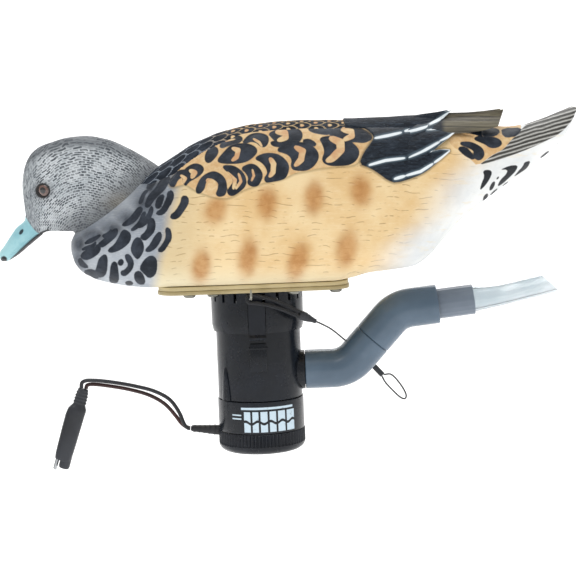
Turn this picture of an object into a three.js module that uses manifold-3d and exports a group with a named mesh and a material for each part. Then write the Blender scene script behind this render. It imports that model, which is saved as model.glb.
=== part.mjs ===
// Swimming duck decoy driven by a small water pump under its belly.
// Millimetres. +X points to the tail, -X to the bill, +Z up. The origin is on
// the pump's axis, on the underside of the hull's plate (the mounting plane).
import * as THREE from 'three';
import { mergeVertices } from 'three/addons/utils/BufferGeometryUtils.js';
import Module from 'manifold-3d';

const wasm = await Module();
wasm.setup();

// ---------------------------------------------------------------- dimensions
const HULL_WALL = 3;
// x, top z, bottom z, half width, z of greatest width, top and bottom exponent
const HULL = [
  [-121, 33.5, 24, 6, 28.5, 2.0, 2.0],
  [-118, 38.5, 17, 22, 28, 2.0, 2.0],
  [-113, 42.5, 12, 34, 28, 2.0, 2.2],
  [-105, 48.5, 8, 43, 29, 2.0, 2.5],
  [-95, 56, 5.5, 50, 31, 2.0, 2.8],
  [-80, 67, 3, 57, 34, 2.05, 3.1],
  [-66, 77.5, 2, 62, 37, 2.1, 3.2],
  [-55, 84, 2, 64.5, 39, 2.1, 3.2],
  [-40, 93, 2, 67, 41, 2.1, 3.2],
  [-20, 101, 2, 69.5, 42, 2.1, 3.2],
  [5, 105.8, 2, 70, 42, 2.1, 3.2],
  [30, 107, 2, 70, 42, 2.1, 3.2],
  [50, 106.5, 2, 69.5, 43, 2.1, 3.2],
  [62, 106, 3.8, 69, 43.5, 2.1, 3.2],
  [75, 105.6, 6.6, 66.5, 45, 2.1, 3.1],
  [90, 106, 7.6, 62.5, 48, 2.1, 3.0],
  [103, 107, 8.8, 57, 52, 2.1, 2.8],
  [113, 107.8, 14.0, 52.5, 57, 2.1, 2.6],
  [124, 109, 24.9, 47.5, 63, 2.15, 2.3],
  [137, 109, 38.0, 42, 71, 2.2, 2.1],
  [150, 108.6, 47.8, 36.5, 78, 2.2, 2.0],
  [161, 107, 55.3, 33, 82, 2.2, 1.9],
  [170, 99.5, 61.3, 31, 84, 2.1, 1.8],
  [180, 98.3, 67.5, 29.5, 86.5, 2.0, 1.7],
  [190, 100.8, 74.8, 27, 91, 2.0, 1.6],
  [200, 104.6, 82.5, 25, 96, 2.0, 1.6],
  [208, 107.5, 92.5, 22, 102.2, 2.0, 1.7],
  [213.5, 109.3, 105, 16, 107.8, 2.0, 2.0],
];
const NECK_A = [-118, 36];            // front of the neck joint (x, z)
const NECK_B = [-60, 79];             // back of the neck joint
const NECK_HALF = 30;                 // half width of the joint
// head rings: chin x, z, crown x, z, half width, exponent
const HEAD = [
  [-118, 36, -60, 79, 30, 2.0],
  [-118.6, 38.2, -70.5, 86.6, 29.2, 2.0],
  [-119.1, 39, -81, 93, 28, 2.0],
  [-119.8, 39.4, -95, 99.4, 26.4, 2.0],
  [-120.7, 39.5, -109, 102, 25.2, 2.05],
  [-122.5, 39.5, -120.5, 101.3, 24.6, 2.1],
  [-124.8, 39.6, -130, 99, 24, 2.1],
  [-127.5, 39.8, -139, 96, 22.4, 2.1],
  [-130.3, 40, -146, 90, 19.6, 2.1],
  [-133, 40, -150.2, 80, 16.4, 2.1],
  [-135.2, 40, -151.5, 70, 13.8, 2.1],
  [-137.2, 39.8, -150.8, 56, 10.8, 2.2],
  [-138.6, 39.3, -150.2, 50.2, 9.6, 2.4],
  [-148.8, 31.9, -157.2, 42.2, 9.6, 2.5],
  [-159.1, 24.3, -166, 30.2, 8.6, 2.5],
  [-164.6, 21.8, -168.4, 27.2, 6.6, 2.4],
  [-167.2, 21.6, -168.9, 24.8, 3.6, 2.2],
];
const EYE = [-138, 17.2, 68];
const EYE_R = 3.8;
const GAP = 0.3;

const PLATE_X0 = -64, PLATE_X1 = 61, PLATE_Y = 39, PLATE_R = 14;
const PLATE_Z0 = -2.0, PLATE_Z1 = 0.6;
const PLATE_SCREWS = [[-43, 33], [-27.5, 33], [24.5, 33], [52, 31], [-43, -33], [-27.5, -33], [24.5, -33], [52, -31]];
const HATCH_X = 44, HATCH_Y = 26;     // half sizes of the opening in the hull

const STRAINER_R = 30.5, STRAINER_IN = 28.7, SLOTS = 20, SLOT_W = 2.3;
const HOUSING_R = 28, HOUSING_IN = 26.2, HOUSING_TOP = -12, HOUSING_END = -75.4;
const CASE_R = 28.6, CASE_TOP = -75.7, CASE_END = -96.9, CAP_END = -111;
const CAP_RIBS = 24;
const SPOUT_Z = -58.9, SPOUT_R = 10, SPOUT_BORE = 7.8;

const PIPE_R = 13, SOCKET_R = 10.3, PIPE_BORE = 8.2, BEND_R = 22;
const V1 = [58.6, -58.9], V2 = [93.4, -21.0];   // corners of the pipe run (x, z)
const TAIL_ANGLE = 5.5;                         // rise of the last straight
const NIPPLE_R = 10, NIPPLE_IN = 8.8;

const WIRE_D = 2.6, BUNGEE_D = 2.5, LINE_D = 1.1;

// ------------------------------------------------------------------- helpers
const V3 = (x, y, z) => new THREE.Vector3(x, y, z);
const rad = THREE.MathUtils.degToRad;

// three.js geometry -> manifold solid, with degenerate triangles left out
function solid(geometry) {
  let g = geometry.clone();
  g.deleteAttribute('normal');
  g.deleteAttribute('uv');
  g = mergeVertices(g, 1e-4);
  const p = g.attributes.position.array;
  const src = g.index.array;
  const idx = [];
  let vol = 0;
  for (let i = 0; i < src.length; i += 3) {
    const [a, b, c] = [src[i], src[i + 1], src[i + 2]];
    if (a === b || b === c || c === a) continue;
    idx.push(a, b, c);
    vol += p[3 * a] * (p[3 * b + 1] * p[3 * c + 2] - p[3 * b + 2] * p[3 * c + 1])
      - p[3 * a + 1] * (p[3 * b] * p[3 * c + 2] - p[3 * b + 2] * p[3 * c])
      + p[3 * a + 2] * (p[3 * b] * p[3 * c + 1] - p[3 * b + 1] * p[3 * c]);
  }
  if (vol < 0) for (let i = 0; i < idx.length; i += 3) [idx[i], idx[i + 1]] = [idx[i + 1], idx[i]];
  return new wasm.Manifold(new wasm.Mesh({
    numProp: 3, vertProperties: new Float32Array(p), triVerts: new Uint32Array(idx),
  }));
}

const join = (...s) => s.reduce((a, b) => a.add(b));
const cut = (a, ...s) => s.reduce((m, b) => m.subtract(b), a);

// surface of revolution about +Z from [r, z] pairs (closed profile)
function lathe(pts, seg = 40, cx = 0, cy = 0) {
  const closed = pts[0][0] === 0 && pts[pts.length - 1][0] === 0 ? pts : [...pts, pts[0]];
  const g = new THREE.LatheGeometry(closed.map(([r, z]) => new THREE.Vector2(r, z)), seg);
  g.rotateX(Math.PI / 2);
  g.translate(cx, cy, 0);
  return solid(g);
}

// round bar from a to b
function bar(a, b, r0, seg = 24, r1 = r0, sx = 1, sy = 1) {
  const A = V3(...a), B = V3(...b);
  const d = B.clone().sub(A);
  const g = new THREE.CylinderGeometry(r1, r0, d.length(), seg);
  g.scale(sx, 1, sy);
  g.applyQuaternion(new THREE.Quaternion().setFromUnitVectors(V3(0, 1, 0), d.clone().normalize()));
  g.translate(...A.add(B).multiplyScalar(0.5).toArray());
  return solid(g);
}

function box(x0, x1, y0, y1, z0, z1) {
  const g = new THREE.BoxGeometry(x1 - x0, y1 - y0, z1 - z0);
  g.translate((x0 + x1) / 2, (y0 + y1) / 2, (z0 + z1) / 2);
  return solid(g);
}

// a cylinder whose rows and angles are carried onto rings: f(row, cos, sin, rim)
function loft(rows, seg, f) {
  const g = new THREE.CylinderGeometry(1, 1, 1, seg, rows - 1);
  const p = g.attributes.position;
  for (let i = 0; i < p.count; i++) {
    const x = p.getX(i), y = p.getY(i), z = p.getZ(i);
    const row = Math.round((0.5 - y) * (rows - 1));
    const r = Math.hypot(x, z);
    const v = r < 0.5 ? f(row, 0, 0, 0) : f(row, x / r, z / r, 1);
    p.setXYZ(i, v[0], v[1], v[2]);
  }
  return solid(g);
}

const spow = (v, n) => Math.sign(v) * Math.abs(v) ** (2 / n);

function polyShape(r, n) {
  const s = new THREE.Shape();
  for (let i = 0; i < n; i++) {
    const a = (2 * Math.PI * (i + 0.5)) / n;
    if (i) s.lineTo(r * Math.cos(a), r * Math.sin(a));
    else s.moveTo(r * Math.cos(a), r * Math.sin(a));
  }
  s.closePath();
  return s;
}

// tube of radius r along a smooth curve through the points
function tube(points, r, steps, sides = 8, tension = 0.5) {
  const curve = new THREE.CatmullRomCurve3(points.map((q) => V3(...q)), false, 'centripetal', tension);
  return solid(new THREE.ExtrudeGeometry(polyShape(r, sides), { steps, extrudePath: curve, bevelEnabled: false }));
}

// pipe run in the XZ plane: straight, bend, straight. a, v, b are [x, z]
function bendPath(a, v, b, radius) {
  const A = V3(a[0], 0, a[1]), V = V3(v[0], 0, v[1]), B = V3(b[0], 0, b[1]);
  const d0 = A.clone().sub(V).normalize(), d1 = B.clone().sub(V).normalize();
  const half = d0.angleTo(d1) / 2;
  const t = radius / Math.tan(half);
  const P = V.clone().addScaledVector(d0, t), Q = V.clone().addScaledVector(d1, t);
  const C = V.clone().addScaledVector(d0.clone().add(d1).normalize(), radius / Math.sin(half));
  const pts = [A];
  const n = 4;
  for (let i = 0; i <= n; i++) {
    const w = P.clone().sub(C), e = Q.clone().sub(C), ang = w.angleTo(e), k = i / n;
    const s = Math.sin(ang);
    pts.push(C.clone().addScaledVector(w, Math.sin((1 - k) * ang) / s).addScaledVector(e, Math.sin(k * ang) / s));
  }
  pts.push(B);
  return pts;
}

// pipe through the points with mitred rings, all in the XZ plane
function pipe(pts, r, seg = 18) {
  const n = pts.length;
  return loft(n, seg, (row, c, s, rim) => {
    const P = pts[row];
    const t0 = (row > 0 ? pts[row].clone().sub(pts[row - 1]) : pts[1].clone().sub(pts[0])).normalize();
    const t1 = (row < n - 1 ? pts[row + 1].clone().sub(pts[row]) : pts[n - 1].clone().sub(pts[n - 2])).normalize();
    const t = t0.clone().add(t1).normalize();
    const k = 1 / Math.max(0.7, t.dot(t0));
    const N = V3(-t.z, 0, t.x);
    const rr = (typeof r === 'function' ? r(row) : r) * rim;
    return [P.x + N.x * rr * c * k, rr * s, P.z + N.z * rr * c * k];
  });
}

const group = new THREE.Group();
function add(name, manifold, color, roughness, metalness = 0) {
  const m = manifold.getMesh();
  const g = new THREE.BufferGeometry();
  const np = m.numProp;
  const pos = new Float32Array((m.vertProperties.length / np) * 3);
  for (let i = 0; i < pos.length / 3; i++) for (let k = 0; k < 3; k++) pos[3 * i + k] = m.vertProperties[np * i + k];
  g.setAttribute('position', new THREE.BufferAttribute(pos, 3));
  g.setIndex(new THREE.BufferAttribute(new Uint32Array(m.triVerts), 1));
  g.computeVertexNormals();
  const mesh = new THREE.Mesh(g, new THREE.MeshStandardMaterial({ color, roughness, metalness }));
  mesh.name = name;
  group.add(mesh);
  return mesh;
}

// ---------------------------------------------------------------------- hull
const nl = Math.hypot(NECK_B[0] - NECK_A[0], NECK_B[1] - NECK_A[1]);
const nt = [(NECK_B[0] - NECK_A[0]) / nl, (NECK_B[1] - NECK_A[1]) / nl];   // along the joint
const nn = [-nt[1], nt[0]];                                               // out of the joint
const nc = [(NECK_A[0] + NECK_B[0]) / 2, (NECK_A[1] + NECK_B[1]) / 2];
const onJoint = (t, n) => [nc[0] + nt[0] * t + nn[0] * n, nc[1] + nt[1] * t + nn[1] * n];

// oval block on the neck joint, from n0 to n1 along its normal
function neckOval(halfLen, halfWid, n0, n1, seg = 20) {
  return loft(2, seg, (row, c, s) => {
    const [x, z] = onJoint(halfLen * c, row ? n0 : n1);
    return [x, halfWid * s, z];
  });
}

function hullLoft(inset, seg, rows) {
  return loft(rows.length, seg, (row, c, s, rim) => {
    const [x, zt, zb, hw, zc, et, eb] = rows[row];
    const t = zt - inset, b = zb + inset, h = hw - inset;
    const zm = rim ? zc : (t + b) / 2;
    const z = s >= 0 ? zc + (t - zc) * spow(s, et) : zc + (zc - b) * spow(s, eb);
    return [x, h * spow(c, s >= 0 ? et : eb) * rim, rim ? z : zm];
  });
}

let hull = hullLoft(0, 24, HULL);
// flat oval landing for the neck
const cutter = solid((() => {
  const g = new THREE.BoxGeometry(nl + 9, 90, 40);
  g.rotateY(-Math.atan2(nt[1], nt[0]));
  const [x, z] = onJoint(-3, 20);
  g.translate(x, 0, z);
  return g;
})());
hull = hull.subtract(cutter).add(neckOval(nl / 2 + 0.6, NECK_HALF + 0.6, -9, 0));
const inner = HULL.filter(([x], i) => x > -110 && x < 165 && (i % 2 || x > 160)).map((r, i, a) => {
  const q = [...r];
  if (i === 0) { q[0] = -106.5; q[1] -= 3; q[2] += 3; q[3] -= 5; }
  if (i === a.length - 1) { q[1] -= 4; q[2] += 5; q[3] -= 4; }
  if (r[0] < -50) q[1] -= 6;
  if (r[0] > 120) q[1] -= 2;
  return q;
});
hull = hull.subtract(hullLoft(HULL_WALL, 12, inner));
hull = hull.subtract(box(-HATCH_X, HATCH_X, -HATCH_Y, HATCH_Y, -5, 8));
hull = hull.subtract(neckOval(25.6, 20.4, -22, 5));
hull = cut(hull, ...PLATE_SCREWS.map(([x, y]) => bar([x, y, -2], [x, y, 9], 2.3, 6)));
add('hull_shell', hull, 0x8a7a66, 0.75);

// ---------------------------------------------------------------------- head
function headLoft(seg, rows, trim) {
  return loft(rows.length, seg, (row, c, s) => {
    const [cx, cz, tx, tz, hw, e] = rows[row];
    const mx = (cx + tx) / 2, mz = (cz + tz) / 2;
    const hx = (tx - cx) / 2, hz = (tz - cz) / 2;
    const hl = Math.hypot(hx, hz);
    const k = (hl - trim) / hl;
    return [mx + hx * k * spow(s, e), (hw - trim) * spow(c, e), mz + hz * k * spow(s, e)];
  });
}
const headRings = HEAD.map((r) => [...r]);
headRings[0][0] += nn[0] * GAP; headRings[0][1] += nn[1] * GAP;
headRings[0][2] += nn[0] * GAP; headRings[0][3] += nn[1] * GAP;
let head = headLoft(20, headRings, 0);
head = head.add(neckOval(25, 20, -6, 3));
// hollow of the moulding, open through the spigot
const hollow = [[...HEAD[0]], ...HEAD.slice(1, 9).map((r) => [...r])];
for (const r of hollow) { r[4] -= 2; }
hollow[0] = [...onJoint(-22.4, 1.2), ...onJoint(22.4, 1.2), 20.2, 2];
let cavity = headLoft(12, hollow, 2.8).add(neckOval(21.5, 16.8, -8, 3));
head = head.subtract(cavity);
for (const s of [1, -1]) {
  const g = new THREE.SphereGeometry(EYE_R + GAP, 10, 6);
  g.translate(EYE[0], s * EYE[1], EYE[2]);
  head = head.subtract(solid(g));
}
add('head', head, 0x7d8284, 0.75);
for (const [name, s] of [['left_eye', -1], ['right_eye', 1]]) {
  const g = new THREE.SphereGeometry(EYE_R, 10, 6);
  g.translate(EYE[0], s * EYE[1], EYE[2]);
  add(name, solid(g), 0x3a2415, 0.15);
}

// --------------------------------------------------------------- belly plate
function roundedRect(x0, x1, y0, y1, r) {
  const s = new THREE.Shape();
  s.moveTo(x0 + r, y0); s.lineTo(x1 - r, y0);
  s.absarc(x1 - r, y0 + r, r, -Math.PI / 2, 0, false);
  s.lineTo(x1, y1 - r);
  s.absarc(x1 - r, y1 - r, r, 0, Math.PI / 2, false);
  s.lineTo(x0 + r, y1);
  s.absarc(x0 + r, y1 - r, r, Math.PI / 2, Math.PI, false);
  s.lineTo(x0, y0 + r);
  s.absarc(x0 + r, y0 + r, r, Math.PI, 1.5 * Math.PI, false);
  return s;
}
function slab(shape, z0, z1, curveSegments = 4) {
  const g = new THREE.ExtrudeGeometry(shape, { depth: z1 - z0, bevelEnabled: false, curveSegments });
  g.translate(0, 0, z0);
  return solid(g);
}
const strainerScrewAt = [45, 135, 225, 315].map((a) => [20 * Math.cos(rad(a)), 20 * Math.sin(rad(a))]);
const staple = { x: -3, y0: -38.4, y1: -33.4, z: -6.3, r: 0.8 };
let plate = slab(roundedRect(PLATE_X0, PLATE_X1, -PLATE_Y, PLATE_Y, PLATE_R), PLATE_Z0, PLATE_Z1);
plate = cut(plate, ...PLATE_SCREWS.map(([x, y]) => bar([x, y, -4], [x, y, 3], 2.3, 6)),
  ...strainerScrewAt.map(([x, y]) => bar([x, y, -4], [x, y, 3], 1.75, 8)),
  bar([staple.x, staple.y0, -4], [staple.x, staple.y0, 3], staple.r + GAP, 10),
  bar([staple.x, staple.y1, -4], [staple.x, staple.y1, 3], staple.r + GAP, 10));
add('belly_plate', plate, 0xcdbb92, 0.6);

let gasket = slab(roundedRect(PLATE_X0 + 2, 56, -PLATE_Y + 1, PLATE_Y - 1, 12), 0.9, 1.7, 4);
gasket = cut(gasket, box(-HATCH_X, HATCH_X, -HATCH_Y, HATCH_Y, -5, 8),
  ...PLATE_SCREWS.map(([x, y]) => bar([x, y, -4], [x, y, 3], 2.3, 6)));
add('plate_gasket', gasket, 0x222222, 0.9);

const screw = (x, y, zHead, headH, headR, shankR, len, seg = 8) => lathe([
  [0, zHead - headH], [headR * 0.8, zHead - headH], [headR, zHead - headH * 0.55], [headR, zHead],
  [shankR, zHead], [shankR, zHead + len], [0, zHead + len]], seg, x, y);
PLATE_SCREWS.forEach(([x, y], i) => add(`plate_screw_${i + 1}`, screw(x, y, PLATE_Z0 - GAP, 2.0, 4.0, 1.6, 10.3), 0xb8babd, 0.35, 0.9));
strainerScrewAt.forEach(([x, y], i) => add(`strainer_screw_${i + 1}`, screw(x, y, -4.9, 1.5, 2.8, 1.3, 8.6, 8), 0xb8babd, 0.35, 0.9));

// staple under the plate, for the tether
add('tether_eye', tube([
  [staple.x, staple.y0, 0.3], [staple.x, staple.y0, -2.4], [staple.x, staple.y0, -4.8], [staple.x, staple.y0 + 0.45, -5.85],
  [staple.x, staple.y0 + 1.5, staple.z], [staple.x, staple.y1 - 1.5, staple.z],
  [staple.x, staple.y1 - 0.45, -5.85], [staple.x, staple.y1, -4.8], [staple.x, staple.y1, -2.4], [staple.x, staple.y1, 0.3]],
staple.r, 18, 8), 0xb8babd, 0.3, 0.9);

// ------------------------------------------------------------ strainer, pump
let strainer = lathe([
  [0, -2.3], [STRAINER_R, -2.3], [STRAINER_R, -26], [29.6, -30], [STRAINER_IN, -30],
  [STRAINER_IN, -4.6], [0, -4.6]], 30);
const slotCuts = [];
for (let i = 0; i < SLOTS; i++) {
  const a = (360 / SLOTS) * (i + 0.5);
  const g = new THREE.BoxGeometry(6, SLOT_W, 6.4);
  g.translate(29.8, 0, -6.3);
  g.rotateZ(rad(a));
  if (Math.abs(Math.cos(rad(a))) > 0.22) slotCuts.push(solid(g));
}
strainer = cut(strainer, ...slotCuts,
  ...strainerScrewAt.map(([x, y]) => bar([x, y, -8], [x, y, 0], 1.75, 8)),
  box(-5.9, 5.9, -36, -27, -31, -9.6), box(-5.9, 5.9, 27, 36, -31, -9.6));
add('strainer_base', strainer, 0x1d1f21, 0.45);

const finger = (s) => {
  const prof = new THREE.Shape();
  [[28.9, -10], [31.7, -10], [31.7, -30.5], [33.3, -32.2], [33.3, -33.2], [32.4, -34], [28.9, -34]]
    .forEach(([r, z], i) => (i ? prof.lineTo(s * r, z) : prof.moveTo(s * r, z)));
  prof.closePath();
  const g = new THREE.ExtrudeGeometry(prof, { depth: 11, bevelEnabled: false });
  g.translate(0, 0, -5.5);                     // profile (y, z) along x
  g.applyMatrix4(new THREE.Matrix4().set(0, 0, 1, 0, 1, 0, 0, 0, 0, 1, 0, 0, 0, 0, 0, 1));
  return solid(g);
};
add('latch_front', finger(-1), 0x1d1f21, 0.45);
add('latch_rear', finger(1), 0x1d1f21, 0.45);

let housing = lathe([
  [HOUSING_R, HOUSING_TOP], [HOUSING_R, HOUSING_END], [HOUSING_IN, HOUSING_END], [HOUSING_IN, -66.8],
  [24, -66.8], [24, -49.6], [23, -49.6], [23, -46.4], [26, -46.4], [26, HOUSING_TOP]], 30);
// spout: root boss and spigot
housing = join(housing, cut(bar([25, 0, SPOUT_Z], [30.2, 0, SPOUT_Z], PIPE_R, 20), lathe([[0, -80], [26.5, -80], [26.5, -30], [0, -30]], 24)),
  bar([26.8, 0, SPOUT_Z], [44, 0, SPOUT_Z], SPOUT_R, 20));
housing = cut(housing, bar([15, 0, SPOUT_Z], [50, 0, SPOUT_Z], SPOUT_BORE, 16));
// keeper blocks below the fingers
for (const s of [-1, 1]) housing = housing.add(s < 0 ? box(-5.4, 5.4, -29.6, -27, -55.5, -36.5) : box(-5.4, 5.4, 27, 29.6, -55.5, -36.5));
// teardrop release bosses
for (const a of [-143, 37]) {
  const d = new THREE.Shape();
  d.moveTo(0, -53);
  d.quadraticCurveTo(3.6, -62, 4.6, -75.3);
  d.lineTo(-4.6, -75.3);
  d.quadraticCurveTo(-3.6, -62, 0, -53);
  const g = new THREE.ExtrudeGeometry(d, { depth: 2.6, bevelEnabled: false, curveSegments: 4 });
  g.applyMatrix4(new THREE.Matrix4().set(0, 0, 1, 26.8, 1, 0, 0, 0, 0, 1, 0, 0, 0, 0, 0, 1));
  g.rotateZ(rad(a));
  housing = housing.add(solid(g));
}
add('pump_housing', housing, 0x202224, 0.4);

add('intake_funnel', lathe([[25.6, -44.3], [25.6, -46.1], [12.5, -46.1], [9.7, -49.3], [8.5, -49.3], [8.5, -47], [12, -44.3]], 20), 0x2a2c2e, 0.5);

// impeller
let impeller = lathe([[1.9, -50], [5, -50], [5, -62.6], [22, -62.6], [22, -64], [1.9, -64]], 24);
for (let i = 0; i < 5; i++) {
  const s = new THREE.Shape();
  s.moveTo(4.2, -0.8); s.quadraticCurveTo(13, -1.2, 20.6, 6.2);
  s.lineTo(21.6, 5.0); s.quadraticCurveTo(13.5, -2.9, 4.2, -2.4);
  s.closePath();
  const g = new THREE.ExtrudeGeometry(s, { depth: 12.3, bevelEnabled: false, curveSegments: 4 });
  g.translate(0, 0, -62.8);
  g.rotateZ(rad(72 * i));
  impeller = impeller.add(solid(g));
}
impeller = impeller.subtract(bar([0, 0, -70], [0, 0, -45], 1.9, 12));
add('impeller', impeller, 0xd8d8d0, 0.5);
add('motor_shaft', bar([0, 0, -106.3], [0, 0, -48.6], 1.5, 12), 0xb8babd, 0.25, 1);
add('shaft_seal', lathe([[2.0, -66.6], [5.6, -66.6], [5.6, -69.9], [2.0, -69.9]], 14), 0x151515, 0.8);
add('seal_plate', lathe([[5.95, -67.1], [25.6, -67.1], [25.6, -70.0], [5.95, -70.0]], 24), 0x2a2c2e, 0.5);

// motor
add('motor_can', lathe([[17.3, -72.7], [18.5, -72.7], [18.5, -104], [3.8, -104], [3.8, -102.8], [17.3, -102.8]], 24), 0x9a9c9e, 0.35, 0.9);
const arc = (r0, r1, a0, a1, z0, z1) => {
  const s = new THREE.Shape();
  s.absarc(0, 0, r1, rad(a0), rad(a1), false);
  s.absarc(0, 0, r0, rad(a1), rad(a0), true);
  return slab(s, z0, z1, 7);
};
add('magnet_rear', arc(14.2, 16.9, -62, 62, -97, -76), 0x3a3a3c, 0.6, 0.3);
add('magnet_front', arc(14.2, 16.9, 118, 242, -97, -76), 0x3a3a3c, 0.6, 0.3);
let armature = lathe([[1.95, -96], [13.2, -96], [13.2, -78], [1.95, -78]], 21);
for (let i = 0; i < 3; i++) {
  const g = new THREE.BoxGeometry(9, 2.4, 30);
  g.translate(11.5, 0, -87);
  g.rotateZ(rad(60 + 120 * i));
  armature = armature.subtract(solid(g));
}
add('armature', armature, 0xa8632e, 0.4, 0.6);
add('commutator', lathe([[1.95, -101.5], [4.6, -101.5], [4.6, -97], [1.95, -97]], 12), 0xb87333, 0.3, 0.9);
add('brush_holder', join(lathe([[9.5, -101.9], [16.8, -101.9], [16.8, -100.2], [9.5, -100.2]], 20),
  box(-11, -5, -1.6, 1.6, -101.5, -97.6), box(5, 11, -1.6, 1.6, -101.5, -97.6)), 0x30302a, 0.7);
add('bushing_lower', lathe([[1.85, -107.4], [3.4, -107.4], [3.4, -102.2], [1.85, -102.2]], 12), 0xb08d57, 0.35, 0.9);
add('bushing_upper', lathe([[1.85, -74.5], [4.0, -74.5], [4.0, -70.8], [1.85, -70.8]], 12), 0xb08d57, 0.35, 0.9);

const glandCut = bar([-20, 0, -98.3], [-34, 0, -97.5], 3.9, 14);
let mcase = lathe([
  [25.6, -70.3], [25.6, -71.9], [24.5, -71.9], [24.5, -74.1], [25.6, -74.1], [25.6, CASE_TOP],
  [CASE_R, CASE_TOP], [CASE_R, CASE_END], [26.4, CASE_END], [26.4, -78], [18.9, -78], [18.9, -72.2], [4.4, -72.2], [4.4, -70.3]], 28);
add('motor_case', mcase.subtract(glandCut), 0x202224, 0.4);
add('case_oring', solid((() => { const g = new THREE.TorusGeometry(25.3, 0.5, 4, 28); g.translate(0, 0, -73); return g; })()), 0x101010, 0.9);

// ribbed cap with a rounded rim
const capRows = [[28.9, -97.2], [28.9, -106], [27.2, -109.4], [23.8, CAP_END]];
let cap = loft(capRows.length, CAP_RIBS * 2, (row, c, s, rim) => {
  const [r, z] = capRows[row];
  const k = Math.round((Math.atan2(s, c) / (2 * Math.PI)) * CAP_RIBS * 2) & 1;
  const rr = (row < 2 && k ? r - 0.55 : r) * rim;
  return [rr * c, rr * s, z];
});
cap = cap.subtract(lathe([[0, -96], [26, -96], [26, -107], [24.5, -108.4], [6.2, -108.4], [6.2, -105], [3.8, -105], [3.8, -107.8], [0, -107.8]], 24));
add('motor_cap', cap.subtract(glandCut), 0x1b1d1f, 0.5);

// strain relief of the lead: oval, tapering outwards
const G0 = [-24.3, -98.2], G1 = [-47.6, -95.9];
const gl = Math.hypot(G1[0] - G0[0], G1[1] - G0[1]);
const gd = [(G1[0] - G0[0]) / gl, (G1[1] - G0[1]) / gl];
const gRows = [[0, 4.1, 4.1], [0.7, 4.1, 4.1], [0.9, 3.5, 3.5], [5.9, 3.5, 3.6], [12, 2.9, 3.4], [gl, 2.2, 3.2]];
add('cable_gland', loft(gRows.length, 14, (row, c, s, rim) => {
  const [t, hz, hy] = gRows[row];
  return [G0[0] + gd[0] * t - gd[1] * hz * c * rim, hy * s * rim, G0[1] + gd[1] * t + gd[0] * hz * c * rim];
}), 0x191b1d, 0.55);

// -------------------------------------------------------------- discharge run
const mid = [(V1[0] + V2[0]) / 2, (V1[1] + V2[1]) / 2];
const il = Math.hypot(V2[0] - V1[0], V2[1] - V1[1]);
const id = [(V2[0] - V1[0]) / il, (V2[1] - V1[1]) / il];
const onIncl = (s) => [mid[0] + id[0] * s, mid[1] + id[1] * s];
const td = [Math.cos(rad(TAIL_ANGLE)), Math.sin(rad(TAIL_ANGLE))];
const onTail = (s) => [V2[0] + td[0] * s, V2[1] + td[1] * s];
const xz = (p) => [p[0], 0, p[1]];

let low = pipe(bendPath([30.5, V1[1]], V1, onIncl(-0.15), BEND_R), PIPE_R);
low = cut(low, pipe(bendPath([28, V1[1]], V1, onIncl(3), BEND_R), PIPE_BORE, 12),
  bar([28, 0, V1[1]], [45.5, 0, V1[1]], SOCKET_R, 18), bar(xz(onIncl(-14)), xz(onIncl(3)), SOCKET_R, 18));
add('lower_elbow', low, 0xaebdcb, 0.35);

let up = pipe(bendPath(onIncl(0.25), V2, onTail(26.8), BEND_R), PIPE_R);
up = cut(up, pipe(bendPath(onIncl(-3), V2, onTail(29), BEND_R), PIPE_BORE, 12),
  bar(xz(onIncl(-3)), xz(onIncl(14)), SOCKET_R, 18), bar(xz(onTail(12.5)), xz(onTail(29)), SOCKET_R, 18));
add('upper_elbow', up, 0xaebdcb, 0.35);

add('elbow_coupler', cut(bar(xz(onIncl(-13)), xz(onIncl(13)), NIPPLE_R, 18), bar(xz(onIncl(-15)), xz(onIncl(15)), 8.2, 16)), 0xc3ccd2, 0.4);
add('nozzle_nipple', cut(bar(xz(onTail(13.5)), xz(onTail(50.8)), NIPPLE_R, 18), bar(xz(onTail(12)), xz(onTail(53)), NIPPLE_IN, 18)), 0xbfc2c0, 0.4);

// clear outlet: tapers, lifts a little and ends in an oblique cut
const NZ = [[131.5, -17.33, 8.45], [146, -15.95, 8.45], [153.5, -15.2, 7.65], [161.8, -14.1, 7.2], [175.2, -11.4, 7.05], [186, -9.2, 6.95], [196, -7.0, 6.9], [206, -4.6, 6.9]];
const nzPts = NZ.map(([x, z]) => V3(x, 0, z));
const nzEnds = [V3(128, 0, -17.67), ...nzPts.slice(1, -1), V3(209, 0, -3.9)];
let nozzle = pipe(nzPts, (row) => NZ[row][2], 16).subtract(pipe(nzEnds, (row) => NZ[row][2] - 1.2, 16));
nozzle = nozzle.subtract(solid((() => {
  const g = new THREE.BoxGeometry(60, 40, 40);
  g.translate(0, 0, 20);
  g.rotateY(rad(43.5));
  g.translate(195.4, 0, -7.2);
  return g;
})()));
add('clear_nozzle', nozzle, 0xdfe8ec, 0.08);

// ------------------------------------------------------------- lead and plug
const PT = [-118.2, -66.5], pd = [-0.305, -0.9523], pe = [0.9523, -0.305];
const plug = (t, e, y = 0) => [PT[0] + pd[0] * t + pe[0] * e, y, PT[1] + pd[1] * t + pe[1] * e];
const pRows = [[0, 3.6, 2.6, 0], [5, 4.1, 2.9, 0], [11.5, 4.3, 3.2, 0], [13.5, 5.6, 4.0, -0.2], [19, 6.3, 4.4, -0.9], [47, 5.7, 4.3, -1.1], [50.5, 5.1, 4.0, -1.1]];
let plugBody = loft(pRows.length, 16, (row, c, s, rim) => {
  const [t, he, hy, e0] = pRows[row];
  return plug(t, e0 + he * spow(c, 2.8) * rim, hy * spow(s, 2.8) * rim);
});
plugBody = join(plugBody, bar(plug(44, 1.0), plug(55.6, 1.0), 3.7, 14));
plugBody = cut(plugBody, bar(plug(40, 1.0), plug(58, 1.0), 2.9, 12), bar(plug(44, -4.5), plug(60, -4.5), 1.8, 8));
add('plug_body', plugBody, 0x26282b, 0.6);
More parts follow.
